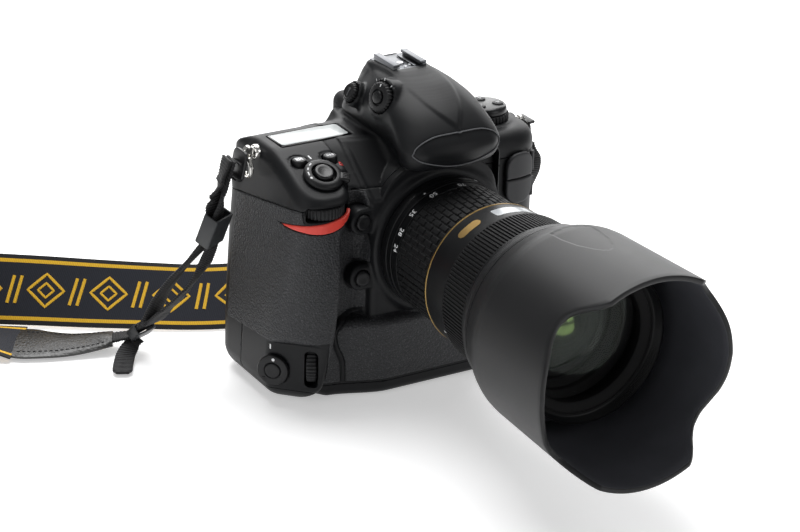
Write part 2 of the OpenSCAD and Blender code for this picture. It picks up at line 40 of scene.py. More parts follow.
# ------------------------------------------------------------------ materials
class Mat:
    """A node material: helpers add textures in object space, whose unit is a metre."""

    def __init__(self, name, color, rough=0.5, metal=0.0, spec=0.5, coat=0.0, coat_rough=0.1, sheen=0.0, ior=None):
        self.m = bpy.data.materials.new(name)
        self.m.use_nodes = True
        self.nt = self.m.node_tree
        self.N, self.L = self.nt.nodes, self.nt.links
        self.b = self.N["Principled BSDF"]
        self.out = self.N["Material Output"]
        b = self.b
        b.inputs["Base Color"].default_value = (*color, 1)
        b.inputs["Roughness"].default_value = rough
        b.inputs["Metallic"].default_value = metal
        b.inputs["Specular IOR Level"].default_value = spec
        b.inputs["Coat Weight"].default_value = coat
        b.inputs["Coat Roughness"].default_value = coat_rough
        b.inputs["Sheen Weight"].default_value = sheen
        if ior:
            b.inputs["IOR"].default_value = ior
        self.tc = self.N.new("ShaderNodeTexCoord")
        self.nrm = None

    def node(self, kind, **inp):
        n = self.N.new(kind)
        for k, v in inp.items():
            if k in n.inputs:
                n.inputs[k].default_value = v
            else:
                setattr(n, k, v)
        return n

    def coords(self, scale=(1, 1, 1), rot=(0, 0, 0)):
        mp = self.N.new("ShaderNodeMapping")
        mp.inputs["Scale"].default_value = scale
        mp.inputs["Rotation"].default_value = rot
        self.L.new(self.tc.outputs["Object"], mp.inputs["Vector"])
        return mp.outputs["Vector"]

    def noise(self, scale, detail=2.0, rough=0.5, dist=0.0, vec=None):
        n = self.N.new("ShaderNodeTexNoise")
        n.inputs["Scale"].default_value = scale
        n.inputs["Detail"].default_value = detail
        n.inputs["Roughness"].default_value = rough
        n.inputs["Distortion"].default_value = dist
        self.L.new(vec or self.tc.outputs["Object"], n.inputs["Vector"])
        return n.outputs["Fac"]

    def voro(self, scale, feature="F1", rnd=1.0, vec=None, smooth=None):
        n = self.N.new("ShaderNodeTexVoronoi")
        n.feature = feature
        n.inputs["Scale"].default_value = scale
        n.inputs["Randomness"].default_value = rnd
        if smooth is not None and "Smoothness" in n.inputs:
            n.inputs["Smoothness"].default_value = smooth
        self.L.new(vec or self.tc.outputs["Object"], n.inputs["Vector"])
        return n.outputs["Distance"]

    def ramp(self, fac, stops):
        n = self.N.new("ShaderNodeValToRGB")
        el = n.color_ramp.elements
        while len(el) < len(stops):
            el.new(0.5)
        for e, (p, c) in zip(el, stops):
            e.position = p
            e.color = (*c, 1) if hasattr(c, "__len__") else (c, c, c, 1)
        self.L.new(fac, n.inputs["Fac"])
        return n.outputs["Color"]

    def math(self, op, a, b=None, clamp=False):
        n = self.N.new("ShaderNodeMath")
        n.operation = op
        n.use_clamp = clamp
        for i, v in enumerate((a, b)):
            if v is None:
                continue
            if isinstance(v, (int, float)):
                n.inputs[i].default_value = v
            else:
                self.L.new(v, n.inputs[i])
        return n.outputs[0]

    def mix(self, fac, a, b, mode="MIX"):
        n = self.N.new("ShaderNodeMix")
        n.data_type = "RGBA"
        n.blend_type = mode
        for k, v in ((0, fac), (6, a), (7, b)):
            if isinstance(v, (int, float)):
                n.inputs[k].default_value = v
            elif hasattr(v, "is_linked"):
                self.L.new(v, n.inputs[k])
            else:
                n.inputs[k].default_value = (*v, 1)
        return n.outputs[2]

    def color(self, sock):
        self.L.new(sock, self.b.inputs["Base Color"])

    def rough(self, fac, lo, hi):
        n = self.N.new("ShaderNodeMapRange")
        n.inputs["To Min"].default_value = lo
        n.inputs["To Max"].default_value = hi
        self.L.new(fac, n.inputs["Value"])
        self.L.new(n.outputs["Result"], self.b.inputs["Roughness"])

    def bump(self, height, dist, strength=1.0):
        n = self.N.new("ShaderNodeBump")
        n.inputs["Distance"].default_value = dist
        n.inputs["Strength"].default_value = strength
        self.L.new(height, n.inputs["Height"])
        if self.nrm is not None:
            self.L.new(self.nrm, n.inputs["Normal"])
        self.nrm = n.outputs["Normal"]
        self.L.new(self.nrm, self.b.inputs["Normal"])


def paint_mat(name, c, rough=0.42, grain=0.00003, spec=0.5, wear=0.25):
    """Baked satin paint on metal: a fine even orange peel, faint cloudiness, duller patches from handling."""
    m = Mat(name, c, rough, spec=spec)
    fine = m.noise(2600, 2, 0.6)
    broad = m.noise(38, 3, 0.55)
    m.color(m.mix(broad, tuple(v * 0.86 for v in c), tuple(v * 1.18 + 0.001 for v in c)))
    m.rough(m.mix(0.35, broad, fine), rough - wear * 0.3, rough + wear * 0.3)
    m.bump(fine, grain, 0.7)
    return m.m


def leather_mat(name, c, scale=1150, depth=0.00022, rough=0.55, glint_paint=0.10, spec=0.45):
    """Moulded leather-grain skin: rounded pebbles of two sizes with lighter crowns, and pale specks painted in as
    painted glints.
    """
    m = Mat(name, c, rough, spec=spec)
    wob = m.noise(420, 2, 0.6)
    v1 = m.voro(scale, "SMOOTH_F1", 0.95, smooth=0.35)
    v2 = m.voro(scale * 2.3, "F1", 1.0)
    peb = m.math("ADD", m.math("MULTIPLY", v1, 1.0), m.math("MULTIPLY", v2, 0.30))
    broad = m.noise(30, 3, 0.6)
    glint_mask = m.ramp(m.noise(1900, 1, 0.4), [(0.0, 0.0), (0.60, 0.0), (0.74, 1.0)])
    base = m.mix(broad, tuple(v * 0.80 for v in c), tuple(v * 1.25 for v in c))
    crown = m.ramp(peb, [(0.0, 1.0), (0.28, 0.55), (0.75, 0.0)])
    tone = m.mix(crown, base, tuple(min(1, v * 1.9 + 0.004) for v in c))
    # pale grey specks mixed into the colour: painted glints on the grain
    m.color(m.mix(m.math("MULTIPLY", glint_mask, glint_paint), tone, (0.32, 0.32, 0.34)))
    m.rough(m.mix(0.5, wob, broad), rough - 0.10, rough + 0.12)
    m.bump(m.math("SUBTRACT", 1.0, peb), depth, 0.85)
    return m.m


def plastic_mat(name, c, rough=0.4, grain=0.00002, scale=3200, spec=0.5, var=0.25, coat=0.0):
    m = Mat(name, c, rough, spec=spec, coat=coat)
    fine = m.noise(scale, 2, 0.5)
    broad = m.noise(55, 3, 0.6)
    m.color(m.mix(broad, tuple(v * (1 - var) for v in c), tuple(v * (1 + var) + 0.0008 for v in c)))
    m.rough(m.mix(0.5, fine, broad), rough - 0.07, rough + 0.07)
    m.bump(fine, grain, 0.6)
    return m.m


def metal_mat(name, c, rough=0.25, brush=None, var=0.12):
    m = Mat(name, c, rough, metal=1.0)
    vec = m.coords(brush) if brush else None
    line = m.noise(900, 3, 0.6, vec=vec)
    broad = m.noise(140, 3, 0.6)
    m.color(m.mix(broad, tuple(v * (1 - var) for v in c), tuple(min(1, v * (1 + var)) for v in c)))
    m.rough(m.mix(0.5, line, broad), max(0.03, rough - 0.1), rough + 0.12)
    m.bump(line, 0.00001, 0.5)
    return m.m


def ink_mat(name, c, rough=0.45):
    """Filled engraving paint: slightly uneven, a little dusty."""
    m = Mat(name, c, rough)
    n = m.noise(900, 2, 0.6)
    m.color(m.mix(n, tuple(v * 0.82 for v in c), c))
    m.rough(n, rough - 0.08, rough + 0.1)
    return m.m


BLACK = (0.0125, 0.0130, 0.0150)
M_PAINT = paint_mat("body_paint_satin", (0.0052, 0.0056, 0.0066), 0.46, spec=0.21)
M_SKIN = leather_mat("grip_leather_skin", (0.0104, 0.0110, 0.0128), scale=900, depth=0.00042, glint_paint=0.16)
M_RUBBER = leather_mat("soft_rubber", (0.0105, 0.0108, 0.0120), scale=2400, depth=0.00006, rough=0.62, glint_paint=0.02, spec=0.35)
M_PLASTIC = plastic_mat("control_plastic", (0.0075, 0.0077, 0.0086), 0.42, spec=0.30)
M_GLOSSP = plastic_mat("polished_plastic", (0.0070, 0.0072, 0.0082), 0.28, grain=0.000008, spec=0.34)
# matte black for dark inner parts, also used as painted shade in screw slots and holes
M_DARK = plastic_mat("black_matte_and_painted_slot_shade", (0.0035, 0.0035, 0.0040), 0.72, spec=0.25)
M_LENS = plastic_mat("lens_barrel_satin", (0.0040, 0.0042, 0.0048), 0.38, grain=0.000025, spec=0.18)
M_LRUB = leather_mat("lens_rubber", (0.0040, 0.0042, 0.0046), scale=3000, depth=0.00004, rough=0.54, glint_paint=0.02, spec=0.15)
M_HOOD = plastic_mat("hood_satin", (0.0062, 0.0064, 0.0072), 0.46, grain=0.00004, scale=2400, var=0.18, spec=0.31)
M_HOODIN = plastic_mat("hood_inside_matte", (0.0440, 0.0455, 0.0540), 0.70, grain=0.00006, scale=1800, spec=0.45)
# pale grey for the zoom ring's grooves: a painted highlight of the lit block edges
M_GROOVE_HIGHLIGHT = plastic_mat("painted_groove_highlight", (0.024, 0.0245, 0.026), 0.8, spec=0.2)
M_CHROME = metal_mat("chrome_fitting", (0.78, 0.77, 0.74), 0.13)
M_STEEL = metal_mat("shoe_steel", (0.52, 0.53, 0.55), 0.30, brush=(1, 12, 1))
M_MOUNT = metal_mat("mount_steel", (0.62, 0.61, 0.59), 0.24, brush=(1, 6, 1))
M_GREYP = plastic_mat("grey_slide_plastic", (0.028, 0.030, 0.032), 0.42, spec=0.4)
M_GOLD = metal_mat("gold_line", (0.36, 0.24, 0.09), 0.38)
M_WHITE = ink_mat("white_mark", (0.78, 0.79, 0.80))
M_REDINK = ink_mat("red_mark", (0.70, 0.035, 0.03))
M_RED = plastic_mat("accent_red", (0.64, 0.050, 0.034), 0.42, grain=0.00002, spec=0.45, var=0.12)
M_DGREY = plastic_mat("outline_grey", (0.085, 0.088, 0.094), 0.42)
M_ALU = metal_mat("chassis_alloy", (0.42, 0.42, 0.43), 0.42)
M_BOARD = plastic_mat("circuit_board", (0.012, 0.09, 0.04), 0.45)
M_CONTACT = metal_mat("gold_contact", (0.83, 0.60, 0.25), 0.22)


# ------------------------------------------------------------------ meshes (millimetres in, metres out)
def mesh_obj(name, V, F, mats, body="root", replaces=(), slot=None, midx=None, smooth=True, sharp=35.0):
    me = bpy.data.meshes.new(name)
    V = np.asarray(V, float).reshape(-1, 3) * MM
    if isinstance(F, np.ndarray):
        k = F.shape[1]
        me.vertices.add(len(V))
        me.vertices.foreach_set("co", V.astype(np.float32).ravel())
        me.loops.add(F.size)
        me.loops.foreach_set("vertex_index", F.astype(np.int32).ravel())
        me.polygons.add(len(F))
        me.polygons.foreach_set("loop_start", np.arange(0, F.size, k, dtype=np.int32))
        me.update(calc_edges=True)
        me.validate()
    else:
        me.from_pydata([tuple(v) for v in V], [], [tuple(int(i) for i in f) for f in F])
        me.validate()
    for m in mats if isinstance(mats, (list, tuple)) else [mats]:
        me.materials.append(m)
    if midx is not None and len(midx) == len(me.polygons):
        me.polygons.foreach_set("material_index", np.asarray(midx, np.int32))
    if smooth:
        me.polygons.foreach_set("use_smooth", np.ones(len(me.polygons), bool))
        if sharp:
            me.set_sharp_from_angle(angle=math.radians(sharp))
    me.update()
    o = bpy.data.objects.new(name, me)
    bpy.context.scene.collection.objects.link(o)
    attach(o, body)
    if replaces:
        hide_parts(*([replaces] if isinstance(replaces, str) else replaces))
    return o


def frame4(p, *turns):
    """Local frame at p: turns are ("x"|"y"|"z", degrees), applied as written, outermost first."""
    M = np.eye(4)
    M[:3, 3] = p
    for a, d in turns:
        c, s = math.cos(math.radians(d)), math.sin(math.radians(d))
        i, k = {"x": (1, 2), "y": (2, 0), "z": (0, 1)}[a]
        R = np.eye(4)
        R[i, i], R[i, k], R[k, i], R[k, k] = c, -s, s, c
        M = M @ R
    return M


def xf(M, V):
    V = np.asarray(V, float).reshape(-1, 3)
    return V @ M[:3, :3].T + M[:3, 3]


class Geo:
    """Collects parts of one piece: each part has points (mm, in an optional local frame) and faces."""

    def __init__(self, M=None):
        self.v, self.f, self.m, self.n, self.M = [], [], [], 0, M

    def add(self, V, F, mi=0, M=None):
        V = np.asarray(V, float).reshape(-1, 3)
        for A in (M, self.M):
            if A is not None:
                V = xf(A, V)
        self.v.append(V)
        self.f += [tuple(int(i) + self.n for i in f) for f in F]
        self.m += [mi] * len(F)
        self.n += len(V)
        return self

    def obj(self, name, mats, body="root", replaces=(), slot=None, smooth=True, sharp=35.0):
        o = mesh_obj(name, np.concatenate(self.v), self.f, mats, body, replaces, slot, self.m, smooth, None)
        bm = bmesh.new()
        bm.from_mesh(o.data)
        bmesh.ops.recalc_face_normals(bm, faces=bm.faces[:])
        bm.to_mesh(o.data)
        bm.free()
        if smooth and sharp:
            o.data.set_sharp_from_angle(angle=math.radians(sharp))
        o.data.update()
        return o


def ngrid(rows, cols, close_u=False, close_v=False):
    """Quads of a rows x cols net of points."""
    F = []
    for i in range(rows if close_u else rows - 1):
        for j in range(cols if close_v else cols - 1):
            a, b = i * cols + j, i * cols + (j + 1) % cols
            c, d = ((i + 1) % rows) * cols + (j + 1) % cols, ((i + 1) % rows) * cols + j
            F.append((a, b, c, d))
    return F


def lathe(prof, n=64, rfun=None, cap0=False, cap1=False, closed=False):
    """Turn (r, h) points about local z. rfun(r, h, angle) may change the radius."""
    P = np.asarray(prof, float)
    t = np.arange(n) * 2 * math.pi / n
    V = []
    for r, h in P:
        rr = np.array([rfun(r, h, a) for a in t]) if rfun else np.full(n, r)
        V.append(np.stack([rr * np.cos(t), rr * np.sin(t), np.full(n, h)], 1))
    V = np.concatenate(V)
    F = ngrid(len(P), n, close_u=closed, close_v=True)
    F = [f for f in F]
    if cap0:
        F.append(tuple(range(n))[::-1])
    if cap1:
        F.append(tuple((len(P) - 1) * n + i for i in range(n)))
    return V, F


def rings(prof, n, fun):
    """Net over angle and profile index: fun(i, angle) -> (x, y, z)."""
    V = [fun(i, 2 * math.pi * k / n) for i in range(prof) for k in range(n)]
    return V, ngrid(prof, n, close_v=True)


def rbox(c, h, r=0.6, seg=3):
    """Rounded box about c with half sizes h."""
    bm = bmesh.new()
    bmesh.ops.create_cube(bm, size=1.0)
    for v in bm.verts:
        v.co = Vector((v.co.x * 2 * h[0], v.co.y * 2 * h[1], v.co.z * 2 * h[2]))
    bmesh.ops.bevel(bm, geom=bm.edges[:], offset=r, segments=seg, profile=0.5, affect="EDGES", clamp_overlap=True)
    bm.verts.index_update()
    V = np.array([v.co for v in bm.verts]) + np.asarray(c, float)
    F = [[v.index for v in f.verts] for f in bm.faces]
    bm.free()
    return V, F


def prism_pad(poly, z0, z1, bev=0.3, seg=2):
    """Extruded outline (counter-clockwise xy) with its top edge rounded."""
    P = np.asarray(poly, float)
    n = len(P)
    e = np.roll(P, -1, 0) - P
    e /= np.maximum(np.linalg.norm(e, axis=1), 1e-9)[:, None]
    nr = np.stack([e[:, 1], -e[:, 0]], 1)
    b = nr + np.roll(nr, 1, 0)
    b /= np.maximum((b * b).sum(1), 0.3)[:, None] * 0.5
    lv = [(0.0, z0), (0.0, z1 - bev)]
    for k in range(1, seg + 1):
        a = math.pi / 2 * k / seg
        lv.append((bev * (1 - math.cos(a)), z1 - bev + bev * math.sin(a)))
    V = np.concatenate([np.column_stack([P - b * d, np.full(n, z)]) for d, z in lv])
    F = ngrid(len(lv), n, close_v=True)
    F.append(tuple((len(lv) - 1) * n + i for i in range(n)))
    F.append(tuple(range(n))[::-1])
    return V, F


def rrect(cx, cy, hx, hy, r, n=6):
    out = []
    for sx, sy, a0 in ((1, 1, 0), (-1, 1, 90), (-1, -1, 180), (1, -1, 270)):
        for i in range(n + 1):
            a = math.radians(a0 + 90 * i / n)
            out.append((cx + sx * (hx - r) + r * math.cos(a), cy + sy * (hy - r) + r * math.sin(a)))
    return out


def ngon(cx, cy, r, n=40):
    return [(cx + r * math.cos(2 * math.pi * i / n), cy + r * math.sin(2 * math.pi * i / n)) for i in range(n)]


def tube_path(P, r, n=10, closed=False):
    """Round wire along points P."""
    P = np.asarray(P, float)
    m = len(P)
    T = (np.roll(P, -1, 0) - np.roll(P, 1, 0)) if closed else np.gradient(P, axis=0)
    T /= np.linalg.norm(T, axis=1)[:, None]
    up = np.array([0.3, 0.2, 0.93])
    V = []
    for i in range(m):
        u = up - T[i] * (up @ T[i])
        u /= np.linalg.norm(u)
        w = np.cross(T[i], u)
        up = u
        V += [P[i] + r * (math.cos(2 * math.pi * k / n) * u + math.sin(2 * math.pi * k / n) * w) for k in range(n)]
    F = ngrid(m, n, close_u=closed, close_v=True)
    if not closed:
        F.append(tuple(range(n))[::-1])
        F.append(tuple((m - 1) * n + i for i in range(n)))
    return V, F


def spline(P, n):
    """Smooth resampling (Catmull-Rom) of rows of numbers to n rows at even steps."""
    P = np.asarray(P, float)
    Q = np.vstack([2 * P[0] - P[1], P, 2 * P[-1] - P[-2]])
    out = []
    for i in range(1, len(Q) - 2):
        for t in np.linspace(0, 1, 24, endpoint=False):
            a, b, c, d = Q[i - 1:i + 3]
            out.append(0.5 * (2 * b + (c - a) * t + (2 * a - 5 * b + 4 * c - d) * t * t + (3 * b - a - 3 * c + d) * t ** 3))
    out.append(P[-1])
    out = np.array(out)
    s = np.concatenate([[0], np.cumsum(np.linalg.norm(np.diff(out[:, :3], axis=0), axis=1))])
    return np.stack([np.interp(np.linspace(0, s[-1], n), s, out[:, k]) for k in range(out.shape[1])], 1)


def number(txt, size, M, name, mat, body, depth=0.05):
    """Plain figures as a thin raised mesh in the local frame M (mm)."""
    cu = bpy.data.curves.new(name, "FONT")
    cu.body = txt
    cu.size = size
    cu.align_x, cu.align_y = "CENTER", "CENTER"
    cu.extrude = depth
    cu.resolution_u = 3
    o = bpy.data.objects.new(name + "_c", cu)
    bpy.context.scene.collection.objects.link(o)
    dg = bpy.context.evaluated_depsgraph_get()
    me = bpy.data.meshes.new_from_object(o.evaluated_get(dg))
    V = np.array([v.co for v in me.vertices])
    F = [list(p.vertices) for p in me.polygons]
    bpy.data.objects.remove(o)
    bpy.data.meshes.remove(me)
    return xf(np.asarray(M), V), F
# ------------------------------------------------------------------ camera, floor and light
cam = bpy.data.cameras.new("camera")
cam.lens = 123.075
cam.sensor_width = 36.0
cam.clip_start, cam.clip_end = 0.05, 50.0
cam_o = bpy.data.objects.new("camera", cam)
bpy.context.scene.collection.objects.link(cam_o)
_r, _u, _b = (0.863686, -0.503533, 0.022394), (0.187674, 0.362508, 0.912889), (-0.467788, -0.784246, 0.407593)
_m = Matrix([[_r[i], _u[i], _b[i]] for i in range(3)]).to_4x4()
_m.translation = Vector((-0.656933, -1.103193, 0.620171))
cam_o.matrix_world = _m
bpy.context.scene.camera = cam_o

floor_m = Mat("studio_floor", (0.90, 0.90, 0.905), 0.55, spec=0.25)
floor_n = floor_m.noise(6, 3, 0.5)
# a softly lit table, so that shadows on it stay pale
floor_m.b.inputs["Emission Color"].default_value = (1.0, 1.0, 1.0, 1.0)
floor_m.b.inputs["Emission Strength"].default_value = 0.40
floor_m.color(floor_m.mix(floor_n, (0.885, 0.885, 0.89), (0.915, 0.915, 0.918)))
_t = np.linspace(-1, 1, 25)
FV = [(5.0 * a, 5.0 * b, -0.0006) for a in _t for b in _t]
fm = bpy.data.meshes.new("studio_floor")
fm.from_pydata(FV, [], ngrid(25, 25))
fm.materials.append(floor_m.m)
floor = bpy.data.objects.new("studio_floor", fm)
bpy.context.scene.collection.objects.link(floor)

world = bpy.data.worlds.new("studio")
bpy.context.scene.world = world
world.use_nodes = True
bg = world.node_tree.nodes["Background"]
bg.inputs["Color"].default_value = (1.0, 1.0, 1.0, 1)
bg.inputs["Strength"].default_value = 0.23


def area_light(name, loc, target, size, power, color=(1, 1, 1), size_y=None):
    l = bpy.data.lights.new(name, "AREA")
    l.energy = power
    l.color = color
    l.shape = "RECTANGLE"
    l.size, l.size_y = size, size_y or size
    o = bpy.data.objects.new(name, l)
    bpy.context.scene.collection.objects.link(o)
    o.location = Vector(loc)
    o.rotation_euler = (Vector(target) - Vector(loc)).to_track_quat("-Z", "Y").to_euler()
    return o


area_light("key_overhead", (0.15, 0.55, 1.55), (-0.02, -0.05, 0.06), 1.3, 30.0, size_y=1.0)
area_light("fill_left", (-1.5, -0.55, 0.85), (-0.04, -0.05, 0.07), 1.0, 4.6)
area_light("front_right", (0.75, -1.5, 0.75), (0.0, -0.12, 0.07), 0.9, 4.4)
# low glow from behind: it lies along the upward faces as a pale sheen
area_light("back_glow", (1.0, 1.5, 0.80), (0.02, -0.12, 0.10), 2.2, 26.0, size_y=1.1)
bpy.context.scene.view_settings.view_transform = "Standard"
bpy.context.scene.view_settings.look = "None"
# ------------------------------------------------------------------ neck strap (routes as in the CAD, mm: x, y, z, lean)
WEB_L = [[-92.5, 6.4, 121, 0], [-95.4, 6.8, 111, 0], [-97.4, 7.4, 101, 0], [-99, 9, 90.5, 0], [-101.2, 13, 79, 0], [-105, 21, 67, 0],
         [-111, 31, 53, 0], [-115, 41, 38, 0], [-117, 50, 23, 0], [-120, 59, 11, 0], [-126, 66, 7, 0], [-132, 69, 6, 0]]
WEB_R = [[79.4, 6, 100, 0], [83.6, 7.5, 91, 0], [86.4, 12, 79.5, 0], [87.2, 18.6, 67.5, 0], [86.8, 25.4, 55.2, 0], [85, 32, 42.5, 0],
         [81.8, 38.2, 28.8, 0], [77, 43.4, 16.6, 0], [70, 48, 8.2, 0], [62, 51.2, 5, 0], [54, 53, 4, 0]]
END_L = [[-132.4, 69.2, 5, 0], [-142, 74, 3, 0], [-152, 79, 2, 0], [-162, 85, 2, 0], [-172, 92, 2, 0]]
END_R = [[52.6, 53.6, 5, 0], [44, 57, 5, 10], [32, 60, 8, 25], [18, 62, 12, 40], [4, 62, 15, 48]]
BAND = [[-172.4, 92.4, 2.2, 0], [-184, 101, 4.4, 8], [-196, 108, 8, 20], [-210, 113, 13, 38], [-226, 117, 17, 60], [-244, 120, 20, 78],
        [-264, 123, 20, 86], [-284, 129, 20, 88], [-302, 141, 20, 88], [-312, 158, 20, 88], [-313, 178, 20, 88], [-304, 194, 20, 88],
        [-288, 203, 20, 88], [-268, 200, 20, 86], [-248, 186, 20, 82], [-230, 170, 20, 76], [-212, 156, 19, 68],
        [-192, 143, 18, 60], [-170, 131, 17, 54], [-148, 119, 16, 50], [-124, 105, 15, 46], [-100, 92, 14, 42],
        [-76, 80, 13, 40], [-52, 71, 13, 40], [-28, 65, 14, 44], [3.4, 62.2, 15, 48]]


def strap_frames(R):
    """Centre, tangent, side and face normal at each row of a route."""
    C = R[:, :3]
    T = np.gradient(C, axis=0)
    T /= np.linalg.norm(T, axis=1)[:, None]
    H = np.stack([-T[:, 1], T[:, 0], np.zeros(len(T))], 1)
    H /= np.maximum(np.linalg.norm(H, axis=1), 1e-6)[:, None]
    Vv = np.cross(T, H)
    a = np.radians(R[:, 3])[:, None]
    S = H * np.cos(a) + Vv * np.sin(a)
    return C, T, S, np.cross(T, S)


def webbing_geo(R, w, t, rib=0.30, pitch=1.55, tip=False):
    """Woven strap with ribs across it: rounded edges, scalloped a little."""
    C, T, S, N = strap_frames(R)
    s = np.concatenate([[0], np.cumsum(np.linalg.norm(np.diff(C, axis=0), axis=1))])
    prof = [(-0.5, -0.12), (-0.485, -0.36), (-0.44, -0.5), (-0.22, -0.5), (0, -0.5), (0.22, -0.5), (0.44, -0.5), (0.485, -0.36), (0.5, -0.12),
            (0.5, 0.12), (0.485, 0.36), (0.44, 0.5), (0.22, 0.5), (0, 0.5), (-0.22, 0.5), (-0.44, 0.5), (-0.485, 0.36), (-0.5, 0.12)]
    V = []
    for i in range(len(C)):
        ph = 2 * math.pi * s[i] / pitch
        tt, ww = t + rib * math.sin(ph), w + 0.22 * math.sin(ph)
        if tip:
            ww *= 1 - 0.35 * max(0, 1 - (s[-1] - s[i]) / 2.5)
        for a, b in prof:
            k = 1 + 0.05 * math.sin(ph + a * 9)
            V.append(C[i] + S[i] * a * ww + N[i] * b * tt * k)
    n = len(prof)
    F = ngrid(len(C), n, close_v=True)
    F.append(tuple(range(n))[::-1])
    F.append(tuple((len(C) - 1) * n + i for i in range(n)))
    return V, F


m = Mat("webbing_weave", (0.0075, 0.0075, 0.0090), 0.72, spec=0.3, sheen=0.12)
m.b.inputs["Sheen Roughness"].default_value = 0.5
_n1, _n2 = m.noise(1600, 2, 0.6), m.noise(70, 2, 0.5)
m.color(m.mix(_n1, (0.0030, 0.0030, 0.0037), (0.0098, 0.0098, 0.0116)))
m.rough(_n2, 0.62, 0.8)
m.bump(_n1, 0.00012, 0.8)
M_WEB = m.m


def cloth_band_mat(name, c0, c1, rough=0.75):
    """Close warp and weft, seen as a fine twill with a slight sheen."""
    m = Mat(name, c0, rough, spec=0.3, sheen=0.10)
    w1 = m.N.new("ShaderNodeTexWave")
    w1.inputs["Scale"].default_value = 330
    w1.inputs["Distortion"].default_value = 1.2
    m.L.new(m.coords((1, 1, 1), (0.3, 0.5, 0.7)), w1.inputs["Vector"])
    n1 = m.noise(1300, 2, 0.6)
    f = m.mix(0.5, w1.outputs["Fac"], n1)
    m.color(m.mix(f, c0, c1))
    m.rough(n1, rough - 0.08, rough + 0.1)
    m.bump(f, 0.00010, 0.7)
    return m.m


M_NAVY = cloth_band_mat("band_navy_weave", (0.0058, 0.0070, 0.0125), (0.0140, 0.0165, 0.0260))
M_YELLOW = cloth_band_mat("band_yellow_thread", (0.62, 0.34, 0.010), (0.86, 0.52, 0.030), 0.66)
M_BANDEDGE = cloth_band_mat("band_black_edge", (0.0050, 0.0052, 0.0065), (0.0120, 0.0125, 0.0150))
m = Mat("strap_leather", (0.018, 0.018, 0.019), 0.34, spec=0.5, coat=0.10, coat_rough=0.3)
_v, _n = m.voro(620, "SMOOTH_F1", 1.0, smooth=0.4), m.noise(95, 4, 0.6)
_n3 = m.noise(26, 3, 0.6, 1.5)
m.color(m.mix(_n3, (0.0055, 0.0055, 0.0062), (0.024, 0.023, 0.022)))
m.rough(m.mix(0.5, _n, _n3), 0.22, 0.5)
m.bump(m.math("ADD", m.math("MULTIPLY", _v, -0.6), m.math("MULTIPLY", _n, 1.2)), 0.0006, 0.55)
M_LEATHER = m.m
M_THREAD = plastic_mat("stitch_thread", (0.055, 0.055, 0.058), 0.7, spec=0.25)
M_TAB = plastic_mat("ring_protector", (0.0070, 0.0070, 0.0080), 0.38)

# the neck band: black selvedge, yellow lines near each edge, navy field
band_n = 300
RB = spline(BAND, band_n)
C, T, S, N = strap_frames(RB)
cols = [(-19.0, 2), (-16.6, 1), (-14.6, 0), (-10, 0), (-5, 0), (0, 0), (5, 0), (10, 0), (14.6, 1), (16.6, 2), (19.0, 2)]
half = 0.75
V, F, mi = [], [], []
for i in range(band_n):
    for a, _ in cols:
        e = 0.55 if abs(a) > 18.9 else 1.0
        V.append(C[i] + S[i] * a + N[i] * half * e)
    for a, _ in reversed(cols):
        e = 0.55 if abs(a) > 18.9 else 1.0
        V.append(C[i] + S[i] * a - N[i] * half * e)
k = 2 * len(cols)
for i in range(band_n - 1):
    for j in range(k):
        F.append((i * k + j, i * k + (j + 1) % k, (i + 1) * k + (j + 1) % k, (i + 1) * k + j))
        c = j if j < len(cols) else k - 2 - j
        c = min(max(c, 0), len(cols) - 1)
        mi.append(2 if j in (len(cols) - 1, k - 1) else cols[c][1])
F.append(tuple(range(k))[::-1])
F.append(tuple((band_n - 1) * k + i for i in range(k)))
mi += [2, 2]
band = mesh_obj("strap_band", V, F, [M_NAVY, M_YELLOW, M_BANDEDGE], "root", "strap_neckband", "webbing", mi)

# a woven row of plain outlined lozenges and bars along the middle of the band, both faces
sB = np.concatenate([[0], np.cumsum(np.linalg.norm(np.diff(C, axis=0), axis=1))])


def on_band(s, a, side, lift=0.16):
    i = np.interp(s, sB, np.arange(band_n))
    j = int(min(max(i, 0), band_n - 2))
    f = i - j
    c, ss, nn = C[j] * (1 - f) + C[j + 1] * f, S[j] * (1 - f) + S[j + 1] * f, N[j] * (1 - f) + N[j + 1] * f
    return c + ss * a + nn * side * (half + lift)


gm = Geo()


def ribbon(pts, w, side):
    """Flat thread line on the band through (s, a) points; closed if the ends meet."""
    P = np.asarray(pts, float)
    t = np.gradient(P, axis=0)
    if np.allclose(P[0], P[-1]):
        t[0] = t[-1] = P[1] - P[-2]
    t /= np.linalg.norm(t, axis=1)[:, None]
    nn = np.stack([-t[:, 1], t[:, 0]], 1) * w / 2
    V = []
    for q, d in zip(P, nn):
        for x, l in ((q - d, 0.0), (q - d * 0.7, 0.2), (q + d * 0.7, 0.2), (q + d, 0.0)):
            V.append(on_band(x[0], x[1], side, l))
    F = ngrid(len(P), 4)
    gm.add(V, F if side > 0 else [f[::-1] for f in F])


def lozenge(s0, a, b, side, w=1.5):
    q = []
    for (x0, y0), (x1, y1) in zip(((a, 0), (0, b), (-a, 0), (0, -b)), ((0, b), (-a, 0), (0, -b), (a, 0))):
        for t in np.linspace(0, 1, 6, endpoint=False):
            q.append((s0 + x0 + (x1 - x0) * t, y0 + (y1 - y0) * t))
    q.append(q[0])
    ribbon(q, w, side)


for side in (1, -1):
    s0 = 26.0
    while s0 < sB[-1] - 20:
        lozenge(s0, 9.5, 9.0, side)
        lozenge(s0, 4.2, 4.0, side, 1.2)
        for dx in (14.5, 18.5):
            ribbon([(s0 + dx - 1.6, -7.5), (s0 + dx - 0.8, -3.7), (s0 + dx, 0), (s0 + dx + 0.8, 3.7), (s0 + dx + 1.6, 7.5)], 1.7, side)
        s0 += 33.0
motif = gm.obj("strap_band_motif", [M_YELLOW], "root", slot="webbing")
